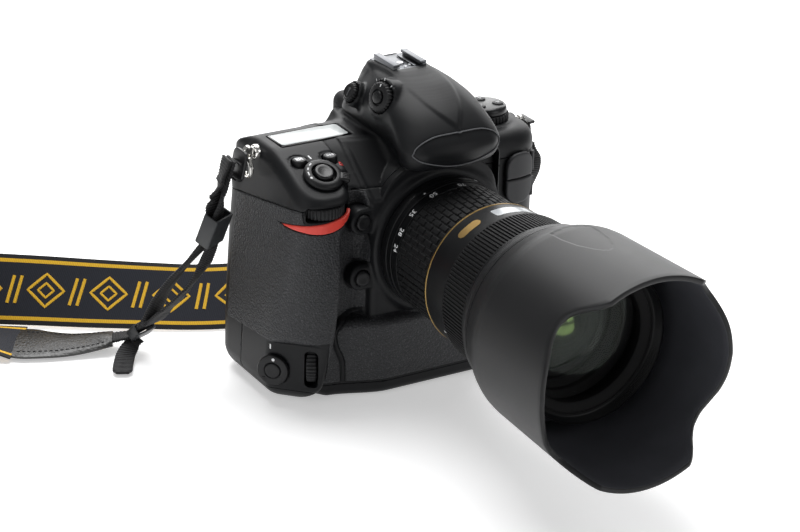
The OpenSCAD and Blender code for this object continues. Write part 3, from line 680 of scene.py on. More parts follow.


# leather ends: padded, lapping over the band, with a raised border and a stitched line
def leather_end(name, route, w0, w1, puff):
    R = spline(route, 40)
    C, T, S, N = strap_frames(R)
    # laps over the webbing at one end and over the band at the other
    C = C + T * np.linspace(-2.6, 2.6, len(C))[:, None]
    n, kc = len(C), 15
    g = Geo()
    V = []
    for sgn in (1, -1):
        for i in range(n):
            u = i / (n - 1)
            w = (w0 + (w1 - w0) * u) / 2
            if u > 0.80:
                w *= math.sqrt(max(0.0, 1 - ((u - 0.80) / 0.2) ** 2 * 0.30))
            for j in range(kc):
                a = -1 + 2 * j / (kc - 1)
                edge = 1 - abs(a) ** 6
                rim = 0.35 * math.exp(-((abs(a) - 0.86) / 0.08) ** 2)
                fold = 0.30 * math.sin(3.1 * u * 5 + a * 2.2) * (1 - a * a) * (1 - u)
                h = (0.55 + puff * edge * (0.55 + 0.45 * math.cos((u - 0.30) * 3)) * (0.6 + 0.4 * (1 - a * a)) + rim + fold) * sgn
                low = -0.85 if sgn < 0 else None
                V.append(C[i] + S[i] * a * w + N[i] * (h if sgn > 0 else max(h, -1.4)))
    F = ngrid(n, kc)
    off = n * kc
    F2 = [tuple(off + q for q in f[::-1]) for f in ngrid(n, kc)]
    ring = [(i * kc, 0) for i in range(n)]
    rim = []
    for i in range(n - 1):
        rim.append((i * kc, (i + 1) * kc, off + (i + 1) * kc, off + i * kc))
        rim.append((i * kc + kc - 1, off + i * kc + kc - 1, off + (i + 1) * kc + kc - 1, (i + 1) * kc + kc - 1))
    for j in range(kc - 1):
        rim.append((j, off + j, off + j + 1, j + 1))
        b = (n - 1) * kc
        rim.append((b + j, b + j + 1, off + b + j + 1, off + b + j))
    g.add(V, F + F2 + rim)
    V = np.asarray(V)
    # stitches
    for a in (2, kc - 3):
        i = 3
        while i < n - 3:
            p, q = V[i * kc + a], V[(i + 1) * kc + a]
            d = (N[i] * 0.12)
            tv, tf = tube_path([p + d * 0.2, p + (q - p) * 0.3 + d * 1.6, p + (q - p) * 0.9 + d * 1.6, q + (q - p) * 0.15 + d * 0.2], 0.24, 6)
            g.add(tv, tf, 1)
            i += 2
    return g.obj(name, [M_LEATHER, M_THREAD], "root", "strap_ends", "leather")


end_l = leather_end("strap_leather_end_left", END_L, 15, 37, 2.0)
end_r = leather_end("strap_leather_end_right", END_R, 15, 37, 1.6)

# webbing strands, their slide, keeper and free tail
RL = spline(WEB_L, 380)
web_l = mesh_obj("strap_web_left", *webbing_geo(RL, 10.6, 1.6), M_WEB, "root", "strap_webbing", "webbing")
RR = spline(WEB_R, 320)
web_r = mesh_obj("strap_web_right", *webbing_geo(RR, 10.6, 1.6), M_WEB, "root", "strap_webbing", "webbing")


def beside(R, d, i0, i1, n, grow=0.0, drop=0.0):
    """A second strand over the first, lifted off it by d along its face normal, bowing out by grow."""
    C, T, S, N = strap_frames(R)
    i = np.linspace(i0, i1, n)
    out = []
    for q, u in zip(i, np.linspace(0, 1, n)):
        j = int(min(q, len(C) - 2))
        f = q - j
        c = C[j] * (1 - f) + C[j + 1] * f
        nn = N[j] * (1 - f) + N[j + 1] * f
        b = math.sin(math.pi * u)
        out.append([*(c + nn * (d + grow * b) + np.array([0, 0, -drop * b])), R[j, 3]])
    return np.array(out)


# inner strand: from the ring loop, beside the first strand, to the keeper, then the free tail on the floor
_in1 = beside(RL, 2.3, 0, 372 * 0.30, 20, 0.5)
_in2 = beside(RL, -2.4, 372 * 0.30, 372 * 0.81, 26, -6.5)
inner1 = mesh_obj("strap_web_inner", *webbing_geo(spline(_in1, 140), 10.2, 1.5), M_WEB, "root", slot="webbing")
inner2 = mesh_obj("strap_web_return", *webbing_geo(spline(_in2, 220), 10.2, 1.5), M_WEB, "root", slot="webbing")
_tail = [[-120.5, 57.5, 8.6, 0], [-125.0, 57.0, 5.4, 0], [-129.5, 53.5, 3.0, 0], [-133.0, 48.5, 1.9, 0], [-136.5, 42.5, 1.7, 0], [-139.5, 36.5, 1.8, 0]]
tail = mesh_obj("strap_web_tail", *webbing_geo(spline(_tail, 90), 10.2, 1.5, tip=True), M_WEB, "root", slot="webbing")


def sleeve_geo(R, i, L, w, t, wall, r=0.8):
    """Rounded sleeve about a strap at row i of its route."""
    C, T, S, N = strap_frames(R)
    M = np.eye(4)
    M[:3, 0], M[:3, 1], M[:3, 2], M[:3, 3] = S[i], N[i], T[i], C[i]
    o, q = rrect(0, 0, w / 2 + wall, t / 2 + wall, r + wall * 0.5, 5), rrect(0, 0, w / 2, t / 2, r, 5)
    prof = []
    for k, z in ((0.82, -L / 2), (1.0, -L / 2 + 0.4), (1.0, L / 2 - 0.4), (0.82, L / 2)):
        prof.append([(q[j][0] + (o[j][0] - q[j][0]) * k, q[j][1] + (o[j][1] - q[j][1]) * k, z) for j in range(len(o))])
    prof.append([(a, b, L / 2) for a, b in q])
    prof.append([(a, b, -L / 2) for a, b in q])
    n = len(o)
    V = [p for ring in prof for p in ring]
    return V, ngrid(len(prof), n, close_u=True, close_v=True), M


g = Geo()
V, F, Mx = sleeve_geo(RL, int(380 * 0.262), 17.0, 12.4, 6.4, 1.1)
g.add(V, F, 0, Mx)
slide_l = g.obj("strap_slide_left", [M_GREYP], "root", "strap_fittings", "fitting_steel")
g = Geo()
V, F, Mx = sleeve_geo(RL, int(380 * 0.862), 7.0, 11.8, 4.6, 0.9)
g.add(V, F, 0, Mx)
keep_l = g.obj("strap_keeper_left", [M_GREYP], "root", "strap_fittings", "fitting_steel")
g = Geo()
V, F, Mx = sleeve_geo(RR, int(320 * 0.80), 7.0, 11.8, 3.0, 0.9)
g.add(V, F, 0, Mx)
keep_r = g.obj("strap_keeper_right", [M_GREYP], "root", "strap_fittings", "fitting_steel")


def split_ring(name, c):
    """Wire wound twice, its free ends showing."""
    g = Geo()
    n = 132
    P = []
    for i in range(n):
        a = 2 * math.pi * 2.08 * i / (n - 1) + 0.6
        P.append((c[0] - 0.85 + 1.7 * i / (n - 1), c[1] + 5.0 * math.cos(a), c[2] + 5.0 * math.sin(a)))
    V, F = tube_path(P, 0.80, 10)
    g.add(V, F)
    return g.obj(name, [M_CHROME], "root", "strap_fittings", "fitting_steel")


ring_l = split_ring("strap_ring_left", (-84.2, 6, 115.8))
ring_r = split_ring("strap_ring_right", (74.9, 6, 104.6))


def protector(name, M):
    """Soft plastic guard between the ring and the casing: a rounded plate with a slot and a turned-up lip."""
    g = Geo(M)
    out = rrect(0, 0, 6.6, 7.4, 3.2, 6)
    V, F = prism_pad(out, -0.7, 0.7, 0.5, 3)
    g.add(V, F)
    V, F = rbox((0, 6.6, 1.6), (6.2, 0.8, 1.9), 0.6)
    g.add(V, F)
    V, F = rbox((0, -1.0, 1.2), (4.6, 0.6, 0.9), 0.4)
    g.add(V, F)
    return g.obj(name, [M_TAB], "root")


prot_l = protector("ring_guard_left", frame4((-88.6, 6.2, 117.6), ("y", -78), ("z", 90)))
prot_r = protector("ring_guard_right", frame4((77.6, 6.0, 105.6), ("y", 84), ("z", 90)))

# ------------------------------------------------------------------ distance fields (millimetres)
F32 = np.float32


def smin(a, b, k):
    h = np.maximum(k - np.abs(a - b), 0) / k
    return np.minimum(a, b) - h * h * k * 0.25


def smax(a, b, k):
    return -smin(-a, -b, k)


def rmax(a, b, r):
    """Intersection whose outer edge is a true fillet of radius r."""
    u, v = np.maximum(a + r, 0), np.maximum(b + r, 0)
    return np.minimum(np.maximum(a, b), -r) + np.sqrt(u * u + v * v)


def rmin(a, b, r):
    """Union whose inner corner is a true fillet of radius r."""
    u, v = np.maximum(r - a, 0), np.maximum(r - b, 0)
    return np.maximum(np.minimum(a, b), r) - np.sqrt(u * u + v * v)


def cut(a, b, k=0.0):
    return np.maximum(a, -b) if k <= 0 else rmax(a, -b, k)


def bx(x, y, z, c, h, r=0.0):
    """Box about c with half sizes h, edges rounded by r."""
    qx, qy, qz = np.abs(x - c[0]) - (h[0] - r), np.abs(y - c[1]) - (h[1] - r), np.abs(z - c[2]) - (h[2] - r)
    o = np.sqrt(np.maximum(qx, 0) ** 2 + np.maximum(qy, 0) ** 2 + np.maximum(qz, 0) ** 2)
    return o + np.minimum(np.maximum(qx, np.maximum(qy, qz)), 0) - r


def rect(u, v, c, h, r=0.0):
    qx, qy = np.abs(u - c[0]) - (h[0] - r), np.abs(v - c[1]) - (h[1] - r)
    return np.sqrt(np.maximum(qx, 0) ** 2 + np.maximum(qy, 0) ** 2) + np.minimum(np.maximum(qx, qy), 0) - r


def disc(u, v, c, r):
    return np.sqrt((u - c[0]) ** 2 + (v - c[1]) ** 2) - r


def cyl(u, v, w, c, r, w0, w1, e=0.0):
    """Cylinder along w between w0 and w1, its rim rounded by e."""
    a = disc(u, v, c, r)
    b = np.maximum(w0 - w, w - w1)
    return rmax(a, b, e) if e > 0 else np.maximum(a, b)


def ramp(t, a, b):
    s = np.clip((t - a) / (b - a), 0, 1)
    return s * s * (3 - 2 * s)


def poly2(u, v, P):
    """Signed distance to a closed polygon, negative inside."""
    P = np.asarray(P, F32)
    d = np.full(u.shape, 1e9, F32)
    s = np.ones(u.shape, F32)
    for i in range(len(P)):
        a, b = P[i], P[i - 1]
        e = b - a
        wx, wy = u - a[0], v - a[1]
        t = np.clip((wx * e[0] + wy * e[1]) / max(float(e @ e), 1e-9), 0, 1)
        d = np.minimum(d, (wx - e[0] * t) ** 2 + (wy - e[1] * t) ** 2)
        c1, c2 = v >= a[1], v < b[1]
        c3 = e[0] * wy > e[1] * wx
        s = np.where((c1 & c2 & c3) | (~c1 & ~c2 & ~c3), -s, s)
    return s * np.sqrt(d)


class Table2:
    """A plane field sampled once on a grid and read back by bilinear interpolation."""

    def __init__(self, f, u0, u1, v0, v1, h):
        self.o, self.h = (u0, v0), h
        u, v = np.arange(u0, u1 + h, h, dtype=F32), np.arange(v0, v1 + h, h, dtype=F32)
        U, V = np.meshgrid(u, v, indexing="ij")
        self.g = f(U.ravel(), V.ravel()).reshape(U.shape).astype(F32)

    def __call__(self, u, v):
        n, m = self.g.shape
        a = np.clip((u - self.o[0]) / self.h, 0, n - 1.001)
        b = np.clip((v - self.o[1]) / self.h, 0, m - 1.001)
        i, j = a.astype(np.int32), b.astype(np.int32)
        a, b = a - i, b - j
        g = self.g
        return (g[i, j] * (1 - a) + g[i + 1, j] * a) * (1 - b) + (g[i, j + 1] * (1 - a) + g[i + 1, j + 1] * a) * b


def curve1(t, pts):
    """Smooth (monotone cubic) reading of y at t from a short list of (t, y) pairs."""
    p = np.asarray(pts, float)
    X, Y = p[:, 0], p[:, 1]
    h = np.diff(X)
    m = np.diff(Y) / h
    d = np.zeros(len(X))
    d[0], d[-1] = m[0], m[-1]
    for i in range(1, len(X) - 1):
        d[i] = 0 if m[i - 1] * m[i] <= 0 else (h[i - 1] + h[i]) * 3 / ((2 * h[i] + h[i - 1]) / m[i - 1] + (h[i] + 2 * h[i - 1]) / m[i])
    t = np.clip(t, X[0], X[-1])
    i = np.clip(np.searchsorted(X, t, side="right") - 1, 0, len(X) - 2)
    s = (t - X[i]) / h[i]
    return ((2 * s ** 3 - 3 * s ** 2 + 1) * Y[i] + (s ** 3 - 2 * s ** 2 + s) * h[i] * d[i]
            + (-2 * s ** 3 + 3 * s ** 2) * Y[i + 1] + (s ** 3 - s ** 2) * h[i] * d[i + 1]).astype(F32)


def contour(f, lo, hi, h, block=8, slack=1.6):
    """Dual contouring of the field f over a box with a step h: vertices (mm) and quads.
    Only blocks near the surface are sampled; corners are kept by least squares on the normals."""
    lo, hi = np.asarray(lo, float), np.asarray(hi, float)
    nb = np.ceil((hi - lo) / (h * block)).astype(int)
    n = nb * block + 1
    g = np.empty(n, F32)
    ax = [(lo[k] + (np.arange(nb[k]) + 0.5) * h * block).astype(F32) for k in range(3)]
    C = np.stack(np.meshgrid(*ax, indexing="ij"), -1).reshape(-1, 3)
    fc = f(C[:, 0], C[:, 1], C[:, 2])
    live = np.abs(fc) < slack * 0.5 * math.sqrt(3) * h * block
    sign = np.where(fc < 0, -1.0, 1.0).astype(F32).reshape(nb)
    big = np.repeat(np.repeat(np.repeat(sign, block, 0), block, 1), block, 2)
    g[:-1, :-1, :-1] = big
    g[-1], g[:, -1], g[:, :, -1] = 1, 1, 1
    r = np.arange(block + 1)
    L = np.stack(np.meshgrid(r, r, r, indexing="ij"), -1).reshape(-1, 3)
    B = np.stack(np.unravel_index(np.nonzero(live)[0], nb), 1) * block
    for s in range(0, len(B), 900):
        I = (B[s:s + 900, None, :] + L[None]).reshape(-1, 3)
        P = (lo + I * h).astype(F32)
        g[I[:, 0], I[:, 1], I[:, 2]] = f(P[:, 0], P[:, 1], P[:, 2])
    g[np.abs(g) < 1e-4 * h] = 1e-4 * h
    neg = g < 0
    cells = n - 1
    pts, cel, quads = [], [], []
    for k in range(3):
        sl0, sl1 = [slice(None)] * 3, [slice(None)] * 3
        sl0[k], sl1[k] = slice(None, -1), slice(1, None)
        hit = neg[tuple(sl0)] != neg[tuple(sl1)]
        I = np.stack(np.nonzero(hit), 1)
        u, v = (k + 1) % 3, (k + 2) % 3
        I = I[(I[:, u] > 0) & (I[:, v] > 0) & (I[:, u] < cells[u]) & (I[:, v] < cells[v])]
        J = I.copy()
        J[:, k] += 1
        g0, g1 = g[I[:, 0], I[:, 1], I[:, 2]], g[J[:, 0], J[:, 1], J[:, 2]]
        t = (g0 / (g0 - g1))[:, None]
        pts.append(lo + (I + t * (J - I)) * h)
        q = []
        for du, dv in ((-1, -1), (0, -1), (0, 0), (-1, 0)):
            K = I.copy()
            K[:, u] += du
            K[:, v] += dv
            q.append(np.ravel_multi_index((K[:, 0], K[:, 1], K[:, 2]), cells))
        q = np.stack(q, 1)
        cel.append(q)
        quads.append(np.where((g0 < 0)[:, None], q, q[:, ::-1]))
    X, Q, Fq = np.concatenate(pts), np.concatenate(cel), np.concatenate(quads)
    # one secant step puts the crossing on the true surface, then normals by differences
    e = 0.02 * h
    Xf = X.astype(F32)
    G = np.stack([f(*(Xf + (np.eye(3, dtype=F32)[a] * e)).T) - f(*(Xf - (np.eye(3, dtype=F32)[a] * e)).T) for a in range(3)], 1).astype(float)
    G /= np.maximum(np.linalg.norm(G, axis=1), 1e-12)[:, None]
    ids, inv = np.unique(Q, return_inverse=True)
    inv = inv.reshape(Q.shape)
    m = len(ids)
    w = inv.ravel()
    rep = lambda a: np.repeat(a, 4)
    cnt = np.bincount(w, minlength=m).astype(float)
    mass = np.stack([np.bincount(w, rep(X[:, a]), m) / cnt for a in range(3)], 1)
    d = np.einsum("ij,ij->i", G, X)
    A = np.zeros((m, 3, 3))
    b = np.zeros((m, 3))
    for a in range(3):
        b[:, a] = np.bincount(w, rep(G[:, a] * d), m)
        for c in range(a, 3):
            A[:, a, c] = A[:, c, a] = np.bincount(w, rep(G[:, a] * G[:, c]), m)
    b -= np.einsum("ijk,ik->ij", A, mass)
    lam = 0.04 * cnt
    A[:, 0, 0] += lam
    A[:, 1, 1] += lam
    A[:, 2, 2] += lam
    off = np.linalg.solve(A, b[..., None])[..., 0]
    V = mass + np.clip(off, -0.75 * h, 0.75 * h)
    lowc = lo + np.stack(np.unravel_index(ids, cells), 1) * h
    V = np.clip(V, lowc - 0.15 * h, lowc + 1.15 * h)
    return V, np.searchsorted(ids, Fq)
# ------------------------------------------------------------------ casing as one field
def arcp(cx, cy, r, a0, a1, n=14):
    return [(cx + r * math.cos(math.radians(a0 + (a1 - a0) * i / n)), cy + r * math.sin(math.radians(a0 + (a1 - a0) * i / n))) for i in range(n + 1)]


PLAN_PTS = (arcp(50, -8, 20, -90, 0, 20) + arcp(58, 22, 12, 0, 90) + arcp(-74, 20, 14, 90, 180) + arcp(-64, -20, 24, 180, 270)
            + arcp(-60, -35, 9, 270, 360) + arcp(-45.5, -33, 5.5, 180, 0) + arcp(-34, -32, 6, 180, 270)
            + arcp(30.5, -30, 8, 270, 360) + arcp(41.5, -31, 3, 180, 90, 6))
PLAN = Table2(lambda u, v: poly2(u, v, PLAN_PTS), -112, 92, -72, 62, 0.4)
TAN25, COS25, SIN25 = math.tan(math.radians(25)), math.cos(math.radians(25)), math.sin(math.radians(25))
C7, S7 = math.cos(math.radians(7.4)), math.sin(math.radians(7.4))
AX = 77.0


def local(M, x, y, z):
    R, t = M[:3, :3].T, M[:3, 3]
    a, b, c = x - F32(t[0]), y - F32(t[1]), z - F32(t[2])
    return tuple((a * F32(R[i, 0]) + b * F32(R[i, 1]) + c * F32(R[i, 2])) for i in range(3))


SHUT = (-60.6, -28.5, 126 - 16.5 * TAN25)
M_DECK = frame4(SHUT, ("x", 25))
M_FACET = frame4((-85.3, -24.7, 18.4), ("z", -45), ("x", 90))
M_VDIAL = frame4((-67.2, -31.05, 20.5), ("z", -30))
M_METER = frame4((-21.6, -18.2, 149), ("z", 9), ("y", -74))
M_DIOP = frame4((-25.4, 4, 144.4), ("y", -62))


def prism(x, y, z, g=0.0):
    """Housing over the viewfinder: half width, front and back follow the height; it flares to a wide forehead."""
    wm = curve1(z, [(108, 19), (119, 19), (124, 19.2), (127, 20.4), (130, 22.6), (134, 24.4), (140, 25.2), (144, 24.6), (148, 22.4), (151, 19.6), (154, 16.2), (156.5, 13), (160, 11)])
    wf = curve1(z, [(108, 25), (119, 26), (123, 28), (132, 29), (138, 28), (143, 26), (147, 23), (151, 19.4), (154, 16), (156.5, 13), (160, 11)])
    w = wm + (wf - wm) * (1 - ramp(y, -52, -26))
    w = w - curve1(z, [(108, 0), (128, 0.5), (134, 3), (141, 5.4), (147, 7), (152, 6), (156, 3), (160, 2)]) * ramp(y, -6, 17)
    yf = curve1(z, [(108, -37), (116, -39), (118.6, -43), (121, -53), (124, -57.6), (128, -60.2), (131.5, -61), (135, -59.6), (139, -56), (143, -51.4), (147, -45.6), (150.5, -38.6), (153.2, -31.6), (155.4, -24.6), (157, -17), (160, -8)])
    bow = curve1(z, [(108, 60), (119, 58), (126, 56), (136, 48), (142, 40), (148, 32), (153, 26), (160, 22)])
    yr = curve1(z, [(108, 33), (126, 33), (132, 31), (137, 27.6), (143, 24.4), (149, 22), (153, 20), (156.5, 17.6), (160, 15)])
    r = curve1(z, [(108, 8), (120, 10), (140, 12), (148, 10), (154, 7), (160, 5)])
    a = np.abs(x) - w
    b = np.maximum(yf + np.minimum(x * x, 900) / (2 * bow) - y, y - yr) * F32(0.9)
    u, v = np.maximum(a + r, 0), np.maximum(b + r, 0)
    d = np.minimum(np.maximum(a, b), -r) + np.sqrt(u * u + v * v)
    d = rmax(d * F32(0.86), z - 156.5, 3.0) + g
    # low spine that runs forward along the roof and narrows to a point
    hw = curve1(y, [(-58, 0.05), (-54, 0.6), (-50, 3.4), (-45, 6.6), (-37, 9.8), (-25, 11.8), (40, 12.4)])
    return rmin(d, rmax(d - 1.2, np.maximum(np.abs(x) - hw, 140 - z), 1.6), 1.4)


def hull_sides(x, y, z):
    """Walls of the body below the top deck, with the lean of the grip, its facet and the rounded base."""
    d = PLAN(x, y)
    lean = -(x + 88) * F32(C7) + (z - 45) * F32(S7)
    d = smax(d, lean, 7.0)
    facet = (-(x + y) - 110) * F32(0.7071)
    up = np.maximum(z - 33, 0)
    d = smax(d, facet - up * 1.1, 2.2)
    # finger hollow between the grip and the mount, below the flare under the front dial
    hol = rmax(rect(x, y, (-48.6, -37), (9.7, 9.4), 8.0), z - 98, 9.0)
    d = rmax(d, -hol, 4.5)
    d = rmin(d, np.maximum(rect(x, y, (-46.5, -23), (10, 9.2), 5.0), z - 94), 3.5)
    # the inner edge of the grip draws in towards the base
    draw = np.minimum(np.minimum((x + 52.4 + np.maximum(72 - z, 0) * F32(0.205)) * F32(0.98), -(y + 31.6)), (93.5 - z) * F32(0.8))
    d = rmax(d, np.minimum(draw, -(x + 45)), 6.0)
    # the raised face about the mount has round upper corners beside the prism
    # and the plain panel between it and the grip leans back to the deck
    q = (x + 30) * F32(-0.157) - (y + 9) * F32(0.582) + (z - 125.5) * F32(0.798)
    pan = np.maximum(np.maximum(-rect(x, z, (0, 60), (34.6, 59.5), 25.0), np.where(x < 0, -q, y + 30.4)), -(x + 45.5))
    d = rmax(d, -np.maximum(pan, x - 36), 1.2)
    rb = 4.5 + 7.5 * (1 - ramp(x, -62, -34))
    return rmax(d, -z, rb)


def deck_top(x, y, z):
    """Top face of the grip side: level behind, sloping to the front."""
    lvl = z - 126
    slope = ((z - 126) + (-12 - y) * F32(TAN25)) * F32(COS25)
    ease = ((z - 126) + (-3.6 - y) * F32(0.158)) * F32(0.9877)
    return smax(smax(lvl, ease, 0.8), slope, 5.0)


def rear_fall(x, y, z):
    """Behind the status window the deck falls to the back, up to the side of the prism."""
    return ((z - 126) + (y - 18.5) * F32(TAN25)) * F32(COS25) - 14 * ramp(x, -27, -15)


def casing(x, y, z):
    side = hull_sides(x, y, z)
    # grip tower
    fall = rear_fall(x, y, z)
    a = rmax(side, smax(deck_top(x, y, z), fall, 2.4), (2.8 + 5.2 * (1 - ramp(x, -86, -66))) * (1 - 0.62 * ramp(y, 17, 27)))
    a = rmax(a, x + 36.6, 1.2)
    # middle block, with the recessed panel beside the deck
    m = rmax(side, smax(z - 126, fall, 2.4), 1.2)
    m = np.maximum(m, -(x + 39))
    m = rmax(m, x + 15, 2.0)
    # main block up to the shoulder
    s = rmax(side, smax(z - 120.5, fall, 2.0), 4.0 + 5.0 * ramp(x, 20, 55) - 2.8 * (1 - ramp(x, -40, -20)))
    s = np.maximum(s, -(x + 44))
    d = np.minimum(rmin(a, m, 1.4), s)
    p = prism(x, y, z)
    p = np.maximum(p, 108 - z)
    d = rmin(d, p, 3.0)
    return d


# line of the piping that parts the lower boss from the grip
LOBE = spline([(-38, 44.6), (-46.4, 43.6), (-53.0, 40.4), (-56.6, 35), (-55.6, 28.4), (-52.8, 20.8), (-52.2, 14), (-52.2, 3)], 60)
LOBE_OUT = Table2(lambda u, v: poly2(u, v, list(LOBE) + [(60, 3), (60, 44.6)]), -80, 50, -6, 60, 0.4)


def boss_edge(x, z):
    return rect(x, z, (-12.75, 10), (49.25, 31.0), 13.0)


def casing_front(x, y, z):
    """Casing with what stands proud on the front: mount bezel, bosses, lower boss and piping."""
    d = casing(x, y, z)
    rr = np.sqrt(x * x + (z - AX) ** 2)
    # round shoulder about the mount, then the bezel
    collar = rmax(rr - (37.6 + np.clip((y + 41) * 0.35, 0, 4)), np.maximum(-(y + 40.8), y + 20), 1.4)
    d = rmin(d, collar, 2.4)
    # two control bosses beside the mount
    for zc in (94.0, 64.2):
        b = rmax(rect(x, z, (-40.0, zc), (9.6, 6.9), 6.8), np.maximum(-(y + 37.6), y + 24), 1.6)
        d = rmin(d, b, 1.0)
    # seat of the lens release, and of the focus mode lever
    b = rmax(disc(x, z, (48, AX - 9), 9.4), np.maximum(-(y + 32.0), y + 22), 1.6)
    d = rmin(d, b, 2.0)
    # swelling below the lens with a piped edge
    bo = boss_edge(x, z)
    b = rmax(bo, np.maximum(-(y + 43 - 9.0 * (1 - ramp(x, -62, -28))) * F32(0.94), y + 20), 4.0)
    d = rmin(d, rmax(b, -z, 4.5), 1.6 + 4.6 * (1 - ramp(x, -52, -38)))
    q = LOBE_OUT(x, z)
    pipe = np.sqrt(q * q + d * d) - 0.95
    d = smin(d, np.maximum(np.maximum(pipe, 8.6 - z), np.maximum(y + 24, x + 40)), 0.6)
    # the base stays flat where the swelling runs into it
    return np.maximum(d, -z)
# ------------------------------------------------------------------ casing shells and skins
def raised(x, y, z, d):
    """Adds the collars, frames and pads that stand on the casing."""
    a, b, c = local(M_METER, x, y, z)
    d = rmin(d, cyl(a, b, c, (0, 0), 9.5, -7, 1.0, 0.8), 2.6)
    a, b, c = local(M_DIOP, x, y, z)
    d = rmin(d, cyl(a, b, c, (0, 0), 6.6, -8, 1.6, 1.0), 1.4)
    # foot of the release dial, feet of the strap lugs
    d = rmin(d, cyl(x, y, z, (48.5, -2), 13.2, 112, 120.9, 0.8), 1.5)
    d = rmin(d, cyl(y, z, x, (6, 112), 5.2, 60, 70.5, 0.8), 1.2)
    # frame of the rear screen, thumb side and lower grip at the back
    d = rmin(d, bx(x, y, z, (-2, 28, 60), (38, 10, 36), 3.0), 1.5)
    t = rmax(rect(x, z, (-60.0, 59), (16.2, 22.4), 6.0), np.maximum(y - 36.9, 20 - y), 2.5)
    d = rmin(d, t, 2.0)
    t = np.sqrt(((x + 62) / 1.5) ** 2 + (y - 27) ** 2 + ((z - 101) / 0.9) ** 2) - 10.6
    d = smin(d, t, 5.0)
    d = rmin(d, bx(x, y, z, (46, 28, 92), (7.6, 6.9, 15.6), 3.0), 1.6)
    return d


def pockets(x, y, z, d):
    """Takes the openings of the controls, the finder, the screen, the battery and the sockets out of the casing."""
    d = cut(d, cyl(x, z, y, (0, AX), 33.2, -60, -10))
    d = cut(d, bx(x, y, z, (-64.2, -44, 104.8), (12.0, 24, 3.6), 1.6), 0.5)
    d = cut(d, bx(x, y, z, (-49.5, 6, 127.2), (20.3, 8.8, 2.5), 1.4), 0.4)
    d = cut(d, cyl(x, y, z, (-67, -16), 3.9, 100, 140), 0.5)
    d = cut(d, cyl(x, y, z, (-50.4, -17), 3.9, 100, 140), 0.5)
    a, b, c = local(M_DECK, x, y, z)
    d = cut(d, cyl(a, b, c, (0, 0), 10.5, -0.1, 20), 0.4)
    d = cut(d, cyl(a, b, c, (0, 0), 5.2, -20, 20))
    a, b, c = local(M_FACET, x, y, z)
    d = cut(d, cyl(a, b, c, (0, 0), 8.5, -0.6, 20), 0.4)
    d = cut(d, cyl(a, b, c, (0, 0), 4.2, -20, 20))
    a, b, c = local(M_VDIAL, x, y, z)
    d = cut(d, bx(a, b, c, (0, -20, 0), (3.3, 30, 9.9), 2.6), 0.5)
    for zc in (94.0, 64.2):
        d = cut(d, cyl(x, z, y, (-42.8, zc), 4.3, -60, -10), 0.5)
    d = cut(d, cyl(x, z, y, (48, AX - 9), 6.3, -60, -10), 0.5)
    a, b, c = local(M_METER, x, y, z)
    d = cut(d, cyl(a, b, c, (0, 0), 8.3, 0.0, 30), 0.3)
    a, b, c = local(M_DIOP, x, y, z)
    d = cut(d, cyl(a, b, c, (0, 0), 5.4, 0.2, 30), 0.3)
    d = cut(d, bx(x, y, z, (0, 5, 158), (9.7, 12.1, 3.0), 0.6), 0.3)
    d = cut(d, bx(x, y, z, (0, 40, 122), (17.3, 20, 10.3), 3.6), 0.6)
    d = cut(d, bx(x, y, z, (-62.5, 40, 113.6), (13.4, 15, 3.4), 1.8), 0.4)
    d = cut(d, bx(x, y, z, (-2, 40, 60), (35.6, 4.2, 28.6), 1.2), 0.4)
    d = cut(d, bx(x, y, z, (-2, 34, 60), (35.0, 20, 28.0), 1.0))
    d = cut(d, cyl(x, z, y, (-58, 90), 9.2, 33.6, 60, 0.0), 0.4)
    d = cut(d, cyl(x, z, y, (-58, 90), 6.3, 20, 60))
    for zc in (100.0, 84.0):
        d = cut(d, cyl(x, z, y, (46, zc), 4.3, 20, 60), 0.5)
    d = cut(d, bx(x, y, z, (-59.7, 40, 59), (13.7, 5.9, 19.4), 1.0), 0.4)
    d = cut(d, cyl(x, y, z, (-73.9, 35.75), 1.9, 39.6, 78.4))
    d = cut(d, bx(x, y, z, (-57, 30, 59), (7.0, 12, 16.5), 0.8))
    d = cut(d, bx(x, y, z, (65, 7, 19), (8, 18.8, 12.8), 2.0), 0.5)
    d = cut(d, bx(x, y, z, (25, 7, 19), (50, 18.4, 12.4), 1.0))
    d = cut(d, cyl(x, y, z, (0, 0), 9.2, -5, 14))
    for px, py in ((-70, 14), (-66, -20), (56, 20), (52, -16)):
        d = cut(d, cyl(x, y, z, (px, py), 2.9, -5, 1.4), 0.3)
    # shallow seats round the two deck buttons
    for px, py in ((-67, -16), (-50.4, -17)):
        d = cut(d, np.maximum(disc(x, y, (px, py), 5.5), np.maximum(-(d + 0.5), 110 - z)), 0.25)
    # the plain name panel lies a little below the forehead
    d = cut(d, np.maximum(np.maximum(BADGE2(x, z), y + 40), -(d + 0.35)), 0.12)
    # sockets behind the two terminal covers
    for zc in (90.2, 104.0):
        d = cut(d, cyl(x, z, y, (51.4, zc), 4.9, -60, -21), 0.4)
    return d


BADGE_PTS = [(-24.8, 131), (-23.9, 133.0), (-22.2, 135.2), (-19, 137.3), (-15.6, 138.6), (-12, 139.4), (-6, 139.9), (0, 140), (6, 139.9), (12, 139.4), (15.6, 138.6), (19, 137.3), (22.2, 135.2), (23.9, 133.0),
             (24.8, 131), (23.8, 129.6), (22, 128.6), (14, 126.0), (7, 124.3), (0, 123.6), (-7, 124.3), (-14, 126.0), (-22, 128.6), (-23.8, 129.6)]
BADGE2 = Table2(lambda u, v: poly2(u, v, BADGE_PTS[::-1]), -40, 40, 110, 150, 0.3)


def solid_body(x, y, z):
    return raised(x, y, z, casing_front(x, y, z))


def body_field(x, y, z):
    s = solid_body(x, y, z)
    d = pockets(x, y, z, s)
    # the wall is thicker where the housing slopes, since the field is steeper there
    t = 2.6 + 5.5 * ramp(z, 124, 132) + 4.5 * ramp(z, 113, 118) * (1 - ramp(y, -38, -32))
    return np.maximum(d, -(s + t))


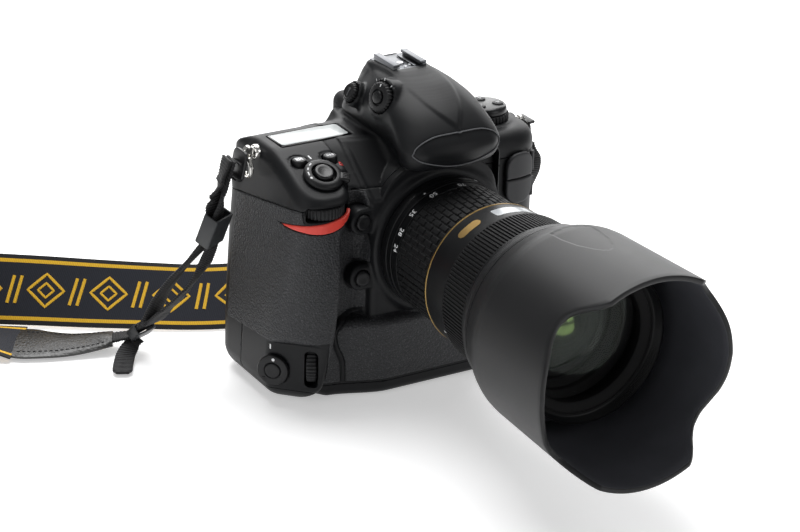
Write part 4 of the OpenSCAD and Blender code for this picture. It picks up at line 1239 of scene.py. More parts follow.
def top_zone(x, y, z):
    """Negative above the seam between the top cover and the walls."""
    sa = (np.minimum(100.4 - 0.172 * y, 106.4) - z) * F32(0.985)
    block = np.maximum(np.abs(x) - 30.5, y + 33)
    sb = np.maximum(108.5 - z, np.minimum(119.0 - z, -block))
    return np.minimum(np.minimum(np.maximum(sa, x + 44), np.maximum(sb, -(x + 44))), np.maximum(sa, sb))


GAP = 0.14
H = 0.8


def shell_top(x, y, z):
    return rmax(body_field(x, y, z), top_zone(x, y, z) + GAP, 0.35)


def shell_front(x, y, z):
    d = rmax(body_field(x, y, z), np.maximum(-top_zone(x, y, z), y - 6) + GAP, 0.35)
    return np.maximum(d, 7.4 + GAP - z)


def shell_rear(x, y, z):
    d = rmax(body_field(x, y, z), np.maximum(-top_zone(x, y, z), 6 - y) + GAP, 0.35)
    return np.maximum(d, 7.4 + GAP - z)


def shell_base(x, y, z):
    return rmax(body_field(x, y, z), z - 7.4 + GAP, 0.35)


def grip_angle(x, y):
    t = np.degrees(np.arctan2(y + 22, x + 64))
    return np.where(t < 0, t + 360, t)


def accent_zone(x, y, z):
    t = grip_angle(x, y)
    lo = curve1(t, [(184, 96.9), (191, 96.6), (212, 96.6), (229, 96.4), (245, 95.4), (258, 95.0), (270, 95.4), (282, 96.9), (294, 100.2), (304, 103.6), (312, 106)])
    hi = curve1(t, [(184, 96.5), (191, 96.9), (212, 98.4), (229, 99.6), (245, 100.1), (258, 100.4), (270, 101.0), (282, 101.8), (294, 102.9), (304, 104.2), (312, 105)])
    return np.maximum(np.maximum(lo - z, z - hi), np.maximum(y + 22, x + 46))


def skin_zone(x, y, z):
    """Where the grip wears its grained skin."""
    top = np.where(x < -50, np.minimum(100.4 - 0.172 * y, 106.4), 108.0)
    r1 = np.maximum(z - top, (31.3 - 0.1 * y) - z)
    r2 = np.maximum(np.maximum(-(x + 64.6), z - 42), 8.6 - z)
    r = np.maximum(np.minimum(r1, r2), np.maximum(y - 21.5, x + 38.4))
    r = np.maximum(r, -rect(x, z, (-64.2, 105.4), (13.0, 4.9), 2.2))
    for zc in (94.0, 64.2):
        r = np.maximum(r, -(rect(x, z, (-40.0, zc), (9.6, 6.9), 6.8) - 0.5))
    return np.maximum(r, -(LOBE_OUT(x, z) - 1.3))


def grip_skin(x, y, z):
    s = casing_front(x, y, z)
    r = np.maximum(skin_zone(x, y, z), -(accent_zone(x, y, z) - 0.1))
    return np.maximum(rmax(s - 0.55, r + 0.25, 0.55), -(s + 1.0))


def accent_field(x, y, z):
    s = casing_front(x, y, z)
    return np.maximum(rmax(s - 0.75, accent_zone(x, y, z) + 0.1, 0.6), -(s + 1.0))


def lower_skin(x, y, z):
    s = casing_front(x, y, z)
    r = np.maximum(np.maximum(np.maximum(boss_edge(x, z) - 1.2, LOBE_OUT(x, z) + 1.3), 8.8 - z), y + 30)
    return np.maximum(rmax(s - 0.5, r, 0.5), -(s + 1.0))


def rear_skin(x, y, z):
    s = raised(x, y, z, casing_front(x, y, z))
    r = np.minimum(rect(x, z, (-57, 22.5), (16, 10.5), 5.0), rect(x, z, (-62.5, 101), (12.5, 7.2), 4.0))
    r = np.maximum(r, 24 - y)
    r = np.maximum(r, -(disc(x, z, (-58, 90), 10.4)))
    return np.maximum(rmax(s - 0.6, r, 0.6), -(s + 1.0))


def field_piece(name, f, lo, hi, h, mats, replaces=(), slot=None, body="root", sharp=42.0, slack=1.6):
    V, F = contour(f, lo, hi, h, slack=slack)
    return mesh_obj(name, V, F, mats, body=body, replaces=replaces, slot=slot, sharp=sharp)


field_piece("top_shell", shell_top, (-93, -64, 92), (74, 41, 160), H, [M_PAINT], ("top_cover",), "body_paint", slack=3.2)
field_piece("front_shell", shell_front, (-93, -56, 4), (74, 9, 122), H, [M_PAINT], ("front_cover",), "body_paint")
field_piece("rear_shell", shell_rear, (-93, 3, 4), (74, 42, 122), H, [M_PAINT], ("rear_cover",), "body_paint")
field_piece("base_pan", shell_base, (-93, -56, -3), (74, 42, 10), H, [M_PAINT], ("bottom_cover",), "body_paint")
field_piece("grip_skin_piece", grip_skin, (-93, -56, 5), (-34, 25, 112), H * 0.9, [M_SKIN], ("grip_rubber",), "grip_rubber")
field_piece("accent_piece", accent_field, (-90, -50, 90), (-44, -18, 108), H * 0.6, [M_RED], ("accent_strip",), "accent_red")
field_piece("lower_skin_piece", lower_skin, (-64, -48, 5), (40, -24, 46), H, [M_SKIN], (), "grip_rubber")
field_piece("rear_skin_piece", rear_skin, (-80, 20, 8), (-36, 44, 112), H, [M_SKIN], ("rear_rubber",), "grip_rubber")
# ------------------------------------------------------------------ lens (local z runs out of the lens, from the body's front-back origin)
M_AX = frame4((0, 0, AX), ("x", 90))


def turned(h, r, n, dr=None, closed=False):
    """Turned net with numpy: rows (r, h), n points round, radial change dr(H, A)."""
    h, r = np.asarray(h, float), np.asarray(r, float)
    a = np.arange(n) * 2 * math.pi / n
    Hh, A = np.meshgrid(h, a, indexing="ij")
    R = np.repeat(r[:, None], n, 1)
    if dr is not None:
        R = R + dr(Hh, A)
    V = np.stack([R * np.cos(A), R * np.sin(A), Hh], -1).reshape(-1, 3)
    return V, ngrid(len(h), n, close_u=closed, close_v=True)


def stepped(t, lo, wid):
    s = np.clip((t - lo) / wid, 0, 1)
    return s * s * (3 - 2 * s)


def cham(prof, c=0.22):
    """Softens every corner of an (r, h) outline with a small chamfer."""
    P = np.asarray(prof, float)
    out = []
    n = len(P)
    for i in range(n):
        p, a, b = P[i], P[i - 1], P[(i + 1) % n]
        da, db = a - p, b - p
        la, lb = np.linalg.norm(da), np.linalg.norm(db)
        if la < 1e-6 or lb < 1e-6:
            continue
        out.append(p + da / la * min(c, la * 0.4))
        out.append(p + db / lb * min(c, lb * 0.4))
    return out


def wrapped(V, r, a0, h0, flip=1):
    """Flat outline (x along the circumference, y along the axis, z outwards) wrapped on a drum of radius r(h)."""
    V = np.asarray(V, float)
    hh = h0 + V[:, 1]
    rr = np.array([r(q) for q in hh]) if callable(r) else np.full(len(V), float(r))
    a = math.radians(a0) + flip * V[:, 0] / rr
    q = rr + V[:, 2]
    return np.stack([q * np.cos(a), q * np.sin(a), hh], 1)


def grid_patch(poly, z, step=0.6):
    """Flat polygon cut in strips so that it can be bent."""
    bm = bmesh.new()
    f = bm.faces.new([bm.verts.new((x, y, 0)) for x, y in poly])
    xs = [p[0] for p in poly]
    for x in np.arange(min(xs) + step, max(xs), step):
        bmesh.ops.bisect_plane(bm, geom=bm.verts[:] + bm.edges[:] + bm.faces[:], plane_co=(x, 0, 0), plane_no=(1, 0, 0))
    bm.verts.index_update()
    V = np.array([(v.co.x, v.co.y, z) for v in bm.verts])
    F = [[v.index for v in f.verts] for f in bm.faces]
    bm.free()
    return V, F


# barrel: bayonet skirt, rear ring with two fine steps, drum under the zoom ring, window band, drum under the focus ring
_barrel = [(21, 39), (22, 39), (22.4, 39.0), (23.5, 39.0), (23.5, 41.1), (34.2, 41.1), (34.9, 41.8), (34.9, 46.2), (34.5, 46.5), (34.5, 46.9), (34.8, 47.1), (34.8, 50.8), (33, 50.8), (33, 86.1),
           (36.3, 86.1), (36.9, 86.6), (37.0, 88.6), (37.3, 93.0), (38.0, 105.4), (38.0, 105.9), (38.1, 106.0), (38.1, 128.2), (41.2, 128.3), (41.4, 128.8), (41.4, 150), (39.5, 150), (39.5, 130), (36.2, 128.4), (36.2, 100), (34.8, 88), (31, 84), (31, 60), (28, 44), (21, 44)]
_throat = 22.0
g = Geo(M_AX)
P = cham(_barrel, 0.24)
g.add(*turned([p[1] for p in P], [p[0] for p in P], 200, closed=True))
# three bayonet claws and a row of contacts on the skirt
for k in range(3):
    a = np.radians(np.linspace(-26, 26, 16) + 120 * k + 20)
    V = []
    for q in a:
        for r_, h_ in ((23.2, 36.6), (25.4, 36.6), (25.4, 38.4), (23.2, 38.4)):
            V.append((r_ * math.cos(q), r_ * math.sin(q), h_))
    F = ngrid(16, 4, close_v=True) + [(3, 2, 1, 0), (60, 61, 62, 63)]
    g.add(V, F, 1)
V, F = turned([36.2, 39.2, 39.2, 36.2], [23.4, 23.4, 21.2, 21.2], 120, closed=True)
g.add(V, F, 1)
for k in range(8):
    a = math.radians(236 + 5.6 * k)
    g.add(*rbox((22.4 * math.cos(a), 22.4 * math.sin(a), 36.1), (0.6, 0.6, 0.35), 0.2, 2), 4)
band_r = lambda h: 36.95 + (h - 87.6) * (38.0 - 36.95) / (105.4 - 87.6)
# thin gold ring, plain gold lozenge, distance window with its frame
V, F = turned([87.5, 87.7, 88.3, 88.5], [36.95, 37.16, 37.2, 37.0], 200)
g.add(V, F, 2)
V2, F2 = grid_patch(rrect(0, 0, 6.6, 2.7, 2.68, 9), 0.12)
g.add(wrapped(V2, band_r, 121, 97.2), F2, 2)
V2, F2 = grid_patch(rrect(0, 0, 10.6, 4.4, 1.6, 6), 0.05)
g.add(wrapped(V2, band_r, 84, 97.4), F2, 5)
V2, F2 = grid_patch(rrect(0, 0, 9.8, 3.7, 1.2, 6), 0.14)
g.add(wrapped(V2, band_r, 84, 97.4), F2, 3)
# index dot and mounting dot
V2, F2 = grid_patch(ngon(0, 0, 0.55, 18), 0.07, 0.3)
g.add(wrapped(V2, 34.8, 116, 49.2), F2, 6)
V2, F2 = grid_patch(ngon(0, 0, 1.0, 18), 0.07, 0.3)
g.add(wrapped(V2, 34.9, 60, 43.8), F2, 6)
V2, F2 = grid_patch(rrect(0, 0, 0.35, 1.5, 0.2, 3), 0.07, 0.3)
g.add(wrapped(V2, band_r, 206, 103), F2, 6)


def window_mat():
    m = Mat("window_glass", (0.36, 0.38, 0.40), 0.20, spec=0.5, coat=0.3, coat_rough=0.12)
    n = m.noise(60, 2, 0.5)
    m.color(m.mix(n, (0.30, 0.32, 0.34), (0.44, 0.46, 0.48)))
    m.rough(n, 0.17, 0.26)
    return m.m


M_WINDOW = window_mat()
g.obj("lens_barrel_piece", [M_LENS, M_MOUNT, M_GOLD, M_WINDOW, M_CONTACT, M_GLOSSP, M_WHITE], "lens", ("lens_barrel",), "lens_plastic", sharp=32)

# zoom ring: engraved scale band behind, staggered rubber blocks in front
g = Geo(M_AX)
P = cham([(33.2, 51.0), (34.55, 51.0), (34.55, 55.9), (34.75, 56.1), (34.75, 56.5), (33.2, 56.5)], 0.16)
g.add(*turned([p[1] for p in P], [p[0] for p in P], 200, closed=True), 1)
NR, BL, H0, H1 = 62, 6.5, 56.6, 85.6


def bricks(Hh, A):
    u = A * NR / (2 * math.pi)
    i = np.floor(u)
    fu = (u - i) * (2 * math.pi * 34.6 / NR)
    bu = np.minimum(fu, 2 * math.pi * 34.6 / NR - fu)
    v = (Hh - H0 - 0.4) / BL + 0.5 * (i % 2)
    fv = (v - np.floor(v)) * BL
    bv = np.minimum(fv, BL - fv)
    e = np.minimum(Hh - H0, H1 - Hh)
    s = np.minimum(stepped(bu, 0.16, 0.42), stepped(bv, 0.12, 0.42))
    return 0.85 * np.minimum(s, stepped(e, 0.1, 0.5))


seg = [0, 0.12, 0.3, 0.54, 0.8, 1.7, 2.45, 2.71, 2.95, 3.13]
rows = sorted({round(H0 + 0.4 + BL / 2 * k + s * (BL / 2) / 3.25, 4) for k in range(-1, 9) for s in seg} | {H0, H0 + 0.1, H0 + 0.35, H0 + 0.6, H1 - 0.6, H1 - 0.35, H1 - 0.1, H1})
rows = [h for h in rows if H0 <= h <= H1]
nn = NR * 15
V, F = turned(rows, np.full(len(rows), 34.0), nn, bricks)
low = (bricks(*np.meshgrid(np.array(rows), np.arange(nn) * 2 * math.pi / nn, indexing="ij")) < 0.14).ravel()
g.add(V, F, 0)
# pale colour in the grooves between the blocks: a painted highlight of their lit edges
g.m[-len(F):] = [3 if k else 0 for k in low[np.array(F)].all(1)]
g.add(*turned([H0, H0, H1, H1], [34.0, 33.2, 33.2, 34.0], nn), 0)
for txt, a in (("24", 167), ("28", 153), ("35", 135), ("50", 112), ("70", 85)):
    V, F = number(txt, 4.2, np.eye(4), "scale_" + txt, None, None, 0.04)
    V = np.asarray(V, float)
    g.add(wrapped(np.column_stack([V[:, 0], V[:, 1], V[:, 2] + 0.03]), 34.55, a, 53.5), F, 2)
g.obj("zoom_ring_piece", [M_LRUB, M_LENS, M_WHITE, M_GROOVE_HIGHLIGHT], "zoom_ring", ("zoom_ring",), "lens_rubber", sharp=50)

# focus ring: fine straight ribs that widen with the cone
NF = 132


def ribs(Hh, A):
    u = A * NF / (2 * math.pi)
    f = u - np.floor(u)
    b = np.minimum(f, 1 - f) * 2
    e = np.minimum(Hh - 107.4, 127.6 - Hh)
    return (-0.62 + 0.72 * stepped(b, 0.22, 0.30)) * stepped(e, 0.0, 0.35)


rows = [106.4, 106.7, 107.2, 107.4, 107.6, 107.9, 109, 112, 117, 122, 126.2, 127.1, 127.4, 127.6, 127.8, 127.9]
base = [38.7, 39.05, 39.15, 39.15, 39.15, 39.16, 39.2, 39.35, 39.6, 39.9, 40.1, 40.15, 40.15, 40.15, 40.05, 39.6]
g = Geo(M_AX)
g.add(*turned(rows, base, NF * (10), ribs))
g.add(*turned([106.4, 106.4, 127.9, 127.9], [38.7, 38.3, 38.3, 39.6], NF * (10)))
g.obj("focus_ring_piece", [M_LRUB], "focus_ring", ("focus_ring",), "lens_rubber", sharp=50)

# inner barrel with the threaded filter ring and the bezel round the glass
th = []
for k in range(8):
    h = 177.2 - k * 0.7
    th += [(38.25, h), (37.95, h - 0.35)]
_inner = [(33.6, 122), (36.14, 122), (36.14, 150.6), (39.1, 151.2), (39.3, 151.6), (39.3, 176.9), (39.0, 177.4), (38.4, 177.5)] + th + [(37.6, 171.6), (37.3, 171.5)]
_bezel = [(37.3, 171.5), (36.4, 171.4), (36.2, 171.0), (35.6, 171.0), (35.4, 171.3), (33.2, 170.4), (31.9, 169.6), (31.5, 169.2), (31.5, 166), (33.6, 164), (33.6, 122)]
g = Geo(M_AX)
g.add(*turned([p[1] for p in _inner], [p[0] for p in _inner], 200))
g.add(*turned([p[1] for p in _bezel], [p[0] for p in _bezel], 200), 1)
# baffle behind the glass: stepped black rings and a dark floor
_baf = [(33.5, 160), (30.5, 157), (30.5, 154), (27.5, 151), (27.5, 148), (24, 145), (24, 139), (12, 136), (0.02, 135.4)]
g.add(*turned([p[1] for p in _baf], [p[0] for p in _baf], 160), 1)
g.obj("inner_barrel_piece", [M_LENS, M_DARK], "inner_barrel", ("inner_barrel",), "lens_plastic", sharp=32)


def glass_mat(name, tint, clear):
    """Coated glass: lets light straight through and mirrors a little of it."""
    m = Mat(name, tint, 0.02, metal=1.0)
    m.b.inputs["Alpha"].default_value = 1 - clear
    n = m.noise(700, 2, 0.5)
    m.rough(n, 0.0, 0.025)
    return m.m


def coated_mat(name, c, rough):
    m = Mat(name, c, rough, metal=1.0)
    n = m.noise(45, 2, 0.5)
    m.color(m.mix(n, tuple(v * 0.7 for v in c), tuple(v * 1.3 for v in c)))
    m.rough(n, rough * 0.7, rough * 1.3)
    return m.m


M_GLASS = glass_mat("optical_glass", (0.72, 0.80, 0.74), 0.985)
M_COATG = coated_mat("green_coating", (0.074, 0.112, 0.036), 0.16)
M_COATA = coated_mat("amber_coating", (0.012, 0.0085, 0.0048), 0.20)
g = Geo(M_AX)
rr = np.concatenate([[0.02], np.linspace(1.5, 31.4, 22)])
front = 170.5 - (rr / 31.4) ** 2 * 4.0
back = 162.2 - (1 - (rr / 31.4) ** 2) * 2.6
g.add(*turned(np.concatenate([front, back[::-1]]), np.concatenate([rr, rr[::-1]]), 120), 0)
# a mild wide element and, before it, a strongly domed one
r2 = np.linspace(12.6, 23.5, 12)
h2 = 151.4 - (r2 - 12.6) ** 2 / 40.0
g.add(*turned(h2, r2, 96), 2)
r3 = np.concatenate([[0.02], np.linspace(0.9, 12.8, 22)])
h3 = 159.0 - (15.0 - np.sqrt(15.0 ** 2 - r3 ** 2))
g.add(*turned(h3, r3, 96), 1)
g.obj("front_glass_piece", [M_GLASS, M_COATG, M_COATA], "inner_barrel", ("front_element",), "optical_glass", sharp=40)

# petal hood: rim distance follows the height on the rim
RIM = [(0, 213.5), (0.2, 212.6), (0.34, 211.0), (0.5, 207.8), (0.60, 206.5), (0.68, 207.6), (0.75, 211.4), (0.81, 217.4), (0.865, 222.4), (0.885, 223.5), (1.0, 223.5)]
NH = 720
A = np.arange(NH) * 2 * math.pi / NH
rim = np.asarray(curve1(np.abs(np.sin(A)), RIM), float)
out_r = lambda h: np.interp(h, [132, 132.5, 134.6, 135.2, 138.9, 139.05, 139.4, 139.55, 141, 148, 152, 156, 223.5], [43.0, 43.4, 43.9, 43.9, 45.24, 44.9, 45.0, 45.48, 46.0, 48.9, 50.1, 50.6, 53.0])
in_r = lambda h: np.interp(h, [150.5, 154, 223.5], [44.0, 47.6, 50.3])
fix = [132.0, 132.2, 132.5, 133.4, 134.6, 134.9, 135.2, 137, 138.9, 139.05, 139.4, 139.55, 141, 143, 145, 147, 148.6, 149.6] + list(np.arange(150.4, 188.1, 0.9))


def index_flat(h):
    """Shallow lozenge on the top of the hood, where the index marks would be."""
    w = float(np.interp(h, [150, 151.4, 152.6, 162, 172, 180, 184, 186.2], [-2, 4, 11, 10.6, 8.6, 5.2, 2.4, -2]))
    u = w - np.abs(np.arctan2(np.cos(A), np.sin(A))) * 51.0
    s = np.clip((u + 0.45) / 0.9, 0, 1)
    return 0.42 * s * s * (3 - 2 * s)


V = [np.stack([(float(out_r(h)) if h > 132.1 else 42.6) - index_flat(h), np.full(NH, h)], 1) for h in fix]
for t in np.linspace(0, 1, 11)[1:]:
    h = fix[-1] + (rim - 0.7 - fix[-1]) * t
    V.append(np.stack([out_r(h), h], 1))
ro, ri = out_r(rim), in_r(rim)
for k in range(1, 7):
    q = math.pi * k / 7
    V.append(np.stack([(ro + ri) / 2 + (ro - ri) / 2 * math.cos(q), rim - 0.7 + 0.75 * math.sin(q)], 1))
for t in np.linspace(0, 1, 16):
    h = (rim - 0.7) + (156 - (rim - 0.7)) * t
    V.append(np.stack([in_r(h), h], 1))
for r_, h_ in ((48.0, 154), (46.4, 152.4), (44.2, 151.0), (43.4, 150.6), (41.8, 150.5), (41.46, 150.2), (41.46, 132.6), (41.8, 132.1)):
    V.append(np.stack([np.full(NH, r_), np.full(NH, h_)], 1))
V = np.array(V)
nrow = len(V)
P3 = np.stack([V[..., 0] * np.cos(A)[None], V[..., 0] * np.sin(A)[None], V[..., 1]], -1).reshape(-1, 3)
F = np.array(ngrid(nrow, NH, close_u=True, close_v=True))
mi = np.zeros(len(F), int)
first_in = len(fix) + 10 + 6
mi[np.arange(len(F)) // NH >= first_in - 1] = 1
P3 = xf(M_AX, P3)
mesh_obj("lens_hood_piece", P3, F, [M_HOOD, M_HOODIN], "lens_hood", ("lens_hood",), "lens_plastic", mi, sharp=38)
# ------------------------------------------------------------------ controls
def knurl(n, depth, duty=0.5, soft=0.25):
    """Radial change of a ribbed rim."""
    def f(r, h, a):
        u = (a * n / (2 * math.pi)) % 1.0
        b = min(u, 1 - u) * 2
        s = min(max((b - (1 - duty) + soft / 2) / soft, 0), 1)
        return r - depth * (1 - s * s * (3 - 2 * s))
    return f


def rim_only(fn, h0, h1, rmin):
    return lambda r, h, a: fn(r, h, a) if (h0 - 1e-6 <= h <= h1 + 1e-6 and r >= rmin) else r


def march(P, D, f, far=40.0):
    """Points of the field's surface met from P along D."""
    P, D = np.asarray(P, float).reshape(-1, 3).copy(), np.asarray(D, float)
    t = np.zeros(len(P))
    for _ in range(90):
        Q = (P + t[:, None] * D).astype(F32)
        d = np.asarray(f(Q[:, 0], Q[:, 1], Q[:, 2]), float)
        t = t + np.clip(d * 0.75, -0.5, 3.0)
    return P + np.clip(t, 0, far)[:, None] * D


def decal(g, polys, P0, U, W, mi, f, lift=0.07, step=0.5, start=6.0):
    """Flat outlines laid on the casing: (u, w) in mm about P0, projected along the normal."""
    U, W = np.asarray(U, float), np.asarray(W, float)
    U, W = U / np.linalg.norm(U), W / np.linalg.norm(W)
    N = np.cross(U, W)
    N /= np.linalg.norm(N)
    for poly in polys:
        V, F = grid_patch(poly, 0.0, step) if not isinstance(poly, tuple) or not hasattr(poly[0], "shape") else poly
        V = np.asarray(V, float)
        Q = np.asarray(P0, float) + V[:, :1] * U + V[:, 1:2] * W + N * start
        g.add(march(Q, -N, f) + N * lift, F, mi)


def bar(u, w, lu, lw, ang=0.0):
    c, s = math.cos(math.radians(ang)), math.sin(math.radians(ang))
    return [(u + x * c - y * s, w + x * s + y * c) for x, y in ((-lu / 2, -lw / 2), (lu / 2, -lw / 2), (lu / 2, lw / 2), (-lu / 2, lw / 2))]


def text_flat(txt, size):
    V, F = number(txt, size, np.eye(4), "t", None, None, 0.0)
    return V, F


# shutter release and its switch collar
g = Geo(M_DECK)
g.add(*lathe([(0.02, -7.4), (5.8, -7.4), (5.9, -7.2), (5.9, -6.3), (5.0, -6.2), (5.0, 3.0), (4.86, 3.5), (4.5, 3.86), (4.0, 4.0), (3.0, 3.86), (1.6, 3.7), (0.02, 3.66)], 72))
g.obj("shutter_button_piece", [M_GLOSSP], "shutter_button", ("shutter_button",), "control_plastic")
g = Geo(M_DECK)
g.add(*lathe([(6.3, 0.3), (9.7, 0.3), (10.0, 0.6), (10.0, 1.3), (9.7, 1.9), (9.0, 2.5), (8.2, 2.85), (7.2, 2.95), (6.5, 2.9), (6.3, 2.7)], 96, closed=True))
R28 = frame4((0, 0, 0), ("z", -28))
g.add(*rbox((10.4, 0, 1.85), (2.6, 2.5, 1.35), 0.8, 4), 0, R28)
for k in (-1.5, -0.5, 0.5, 1.5):
    g.add(*rbox((10.9, k * 1.05, 3.1), (1.9, 0.3, 0.35), 0.22, 3), 0, R28)
for a, w in ((172, 2.2), (148, 1.5), (124, 1.9)):
    A0 = frame4((0, 0, 0), ("z", a))
    g.add(*rbox((8.05, 0, 2.9), (0.34, w / 2, 0.05), 0.04, 1), 1, A0)
A0 = frame4((0, 0, 0), ("z", 190))
g.add(*lathe([(0.02, 2.95), (0.6, 2.95), (0.7, 2.9)], 20), 1, frame4((8.05 * math.cos(math.radians(193)), 8.05 * math.sin(math.radians(193)), 0)))
g.obj("power_switch_piece", [M_PLASTIC, M_WHITE], "power_switch", ("power_switch",), "control_plastic")


def cap_button(name, p, top, r, mats=None, icon=None, dome=0.5):
    g = Geo(frame4((p[0], p[1], top)))
    g.add(*lathe([(0.02, -9), (r + 0.8, -9), (r + 0.8, -7.9), (r, -7.8), (r, -0.9), (r - 0.12, -0.45), (r - 0.45, -0.14), (r - 0.9, -0.02), (r * 0.5, 0.0), (0.02, 0.0)], 56))
    if icon:
        icon(g)
    g.obj(name + "_piece", mats or [M_PLASTIC, M_WHITE], name, (name,), "control_plastic")


def comp_icon(g):
    """White square crossed by a diagonal stroke, with two short signs: the usual exposure compensation mark."""
    for poly in ([(-1.9, -1.5), (1.7, -1.5), (1.7, 1.7), (-1.9, 1.7)],):
        g.add(*prism_pad(poly, -0.02, 0.05, 0.02, 1), 1)
    for b in (bar(-0.9, 0.8, 1.3, 0.32), bar(0.8, -0.7, 1.2, 0.32), bar(0.8, -0.7, 0.32, 1.2), bar(-0.1, 0.1, 0.26, 4.0, -48)):
        g.add(*prism_pad(b, 0.04, 0.08, 0.01, 1), 0)


def mode_icon(g):
    for k in range(3):
        g.add(*prism_pad(bar(-1.4 + 1.4 * k, 0, 0.95, 1.7, -8), -0.02, 0.05, 0.02, 1), 1)
        g.add(*prism_pad(bar(-1.4 + 1.4 * k, 0, 0.35, 0.9, -8), 0.04, 0.08, 0.01, 1), 0)


cap_button("exposure_button", (-67, -16), 124.15, 3.6, icon=comp_icon)
cap_button("mode_button", (-50.4, -17), 123.75, 3.6, icon=mode_icon)


def wheel(name, M, r, w, n, depth, mat, z0=0.0):
    """Thumb wheel about local z: ribbed rim with soft ends and dished faces."""
    g = Geo(M)
    fn = knurl(n, depth, 0.56, 0.42)
    prof = [(1.5, z0), (r * 0.72, z0), (r * 0.76, z0 + 0.25), (r - 0.9, z0 + 0.25), (r - 0.35, z0 + 0.45), (r, z0 + 0.95), (r, z0 + w * 0.5), (r, z0 + w - 0.95), (r - 0.35, z0 + w - 0.45),
            (r - 0.9, z0 + w - 0.25), (r * 0.76, z0 + w - 0.25), (r * 0.72, z0 + w), (1.5, z0 + w)]
    g.add(*lathe(prof, n * (8), lambda q, h, a: fn(q, h, a) if q > r - 1.2 else q, closed=True))
    g.obj(name + "_piece", [mat], name, (name,), "control_plastic", sharp=40)


wheel("front_dial", frame4((-64, -33.6, 101.6)), 11.2, 6.0, 36, 0.75, M_RUBBER)
wheel("rear_dial", frame4((-62.5, 25.6, 110.6)), 11.0, 6.0, 36, 0.75, M_RUBBER)
wheel("vertical_dial", M_VDIAL @ frame4((0, 0, 0), ("y", 90)), 9.6, 5.6, 30, 0.75, M_RUBBER, -2.8)

# vertical release with its lock collar
g = Geo(M_FACET)
g.add(*lathe([(0.02, -5.6), (4.6, -5.6), (4.6, -4.5), (4.0, -4.4), (4.0, 1.7), (3.85, 2.2), (3.5, 2.5), (3.0, 2.6), (1.5, 2.5), (0.02, 2.45)], 60))
g.obj("vertical_button_piece", [M_PLASTIC], "vertical_shutter_button", ("vertical_shutter_button",), "control_plastic")
g = Geo(M_FACET)
g.add(*lathe([(4.1, 0.2), (7.8, 0.2), (8.0, 0.4), (8.0, 1.5), (7.75, 2.0), (7.3, 2.2), (4.6, 2.2), (4.1, 1.8)], 80, closed=True))
g.add(*lathe([(0.02, 2.26), (0.75, 2.26), (0.85, 2.18)], 24), 1, frame4((0.4, 6.0, 0)))
g.add(*rbox((-4.6, -4.6, 2.2), (0.9, 0.9, 0.28), 0.25, 2), 0)
g.obj("vertical_collar_piece", [M_PLASTIC, M_WHITE], "vertical_lock_collar", ("vertical_lock_collar",), "control_plastic")

# front function buttons, lens release, focus mode lever
for nm, zc in (("preview_button", 94.0), ("function_button", 64.2)):
    g = Geo(frame4((-42.8, 0, zc), ("x", 90)))
    g.add(*lathe([(0.02, 19.6), (5.1, 19.6), (5.1, 20.8), (4.0, 20.9), (4.0, 37.9), (3.85, 38.5), (3.5, 38.85), (3.0, 39.0), (2.2, 38.9), (0.02, 38.75)], 56))
    g.obj(nm + "_piece", [M_PLASTIC], nm, (nm,), "control_plastic")
g = Geo(frame4((48, 0, AX - 9), ("x", 90)))
g.add(*lathe([(0.02, 23.2), (7.1, 23.2), (7.1, 24.5), (6.0, 24.6), (6.0, 32.0), (5.8, 32.6), (5.4, 32.95), (4.8, 33.0), (2.4, 32.7), (0.02, 32.5)], 64))
g.obj("lens_release_piece", [M_PLASTIC], "lens_release_button", ("lens_release_button",), "control_plastic")
g = Geo(frame4((52, 0, 40), ("x", 90)))
g.add(*lathe([(0.02, 24), (2.0, 24), (2.0, 28.3), (5.8, 28.3), (6.0, 28.6), (6.0, 30.7), (5.6, 31.2), (5.0, 31.5), (2.6, 31.5), (2.2, 31.2), (0.02, 31.2)], 64))
g.add(*rbox((0, 4.4, 31.4), (1.3, 4.5, 1.5), 0.7, 3))
for k in range(3):
    g.add(*rbox((0, 5.2 + 1.2 * k, 32.9), (1.1, 0.28, 0.25), 0.18, 2))
g.obj("focus_lever_piece", [M_PLASTIC], "focus_mode_lever", ("focus_mode_lever",), "control_plastic")

# metering knob and dioptre knob
g = Geo(M_METER)
fn = knurl(26, 0.5, 0.55, 0.5)
g.add(*lathe([(0.02, -3), (2, -3), (2, 0.3), (7.4, 0.3), (7.8, 0.6), (7.8, 2.2), (7.6, 2.8), (6.9, 3.4), (5.2, 3.9), (4.3, 3.9), (4.1, 3.6), (4.1, 2.9), (0.02, 2.9)], 26 * 8, lambda r, h, a: fn(r, h, a) if r > 7.3 and h > 0.2 else r))
g.add(*lathe([(0.02, 2.8), (3.2, 2.8), (3.2, 4.1), (3.0, 4.5), (2.5, 4.7), (0.02, 4.6)], 48), 1)
g.add(*rbox((5.9, 0, 3.55), (0.75, 0.32, 0.3), 0.1, 2), 2)
g.obj("metering_knob_piece", [M_PLASTIC, M_GLOSSP, M_WHITE], "metering_knob", ("metering_knob",), "control_plastic", sharp=38)
g = Geo(M_DIOP)
fn = knurl(20, 0.45, 0.55, 0.5)
g.add(*lathe([(0.02, -3), (1.6, -3), (1.6, 0.5), (4.7, 0.5), (5.0, 0.8), (5.0, 2.6), (4.8, 3.2), (4.2, 3.8), (3.6, 3.9), (3.3, 3.6), (0.02, 3.6)], 20 * 8, lambda r, h, a: fn(r, h, a) if r > 4.6 and h > 0.4 else r))
g.add(*rbox((0, 0, 3.7), (2.2, 0.3, 0.14), 0.08, 2), 1)
g.add(*rbox((1.6, 0, 3.7), (0.3, 0.9, 0.14), 0.08, 2), 1)
g.obj("dioptre_knob_piece", [M_PLASTIC, M_DGREY], "dioptre_knob", ("dioptre_knob",), "control_plastic", sharp=38)
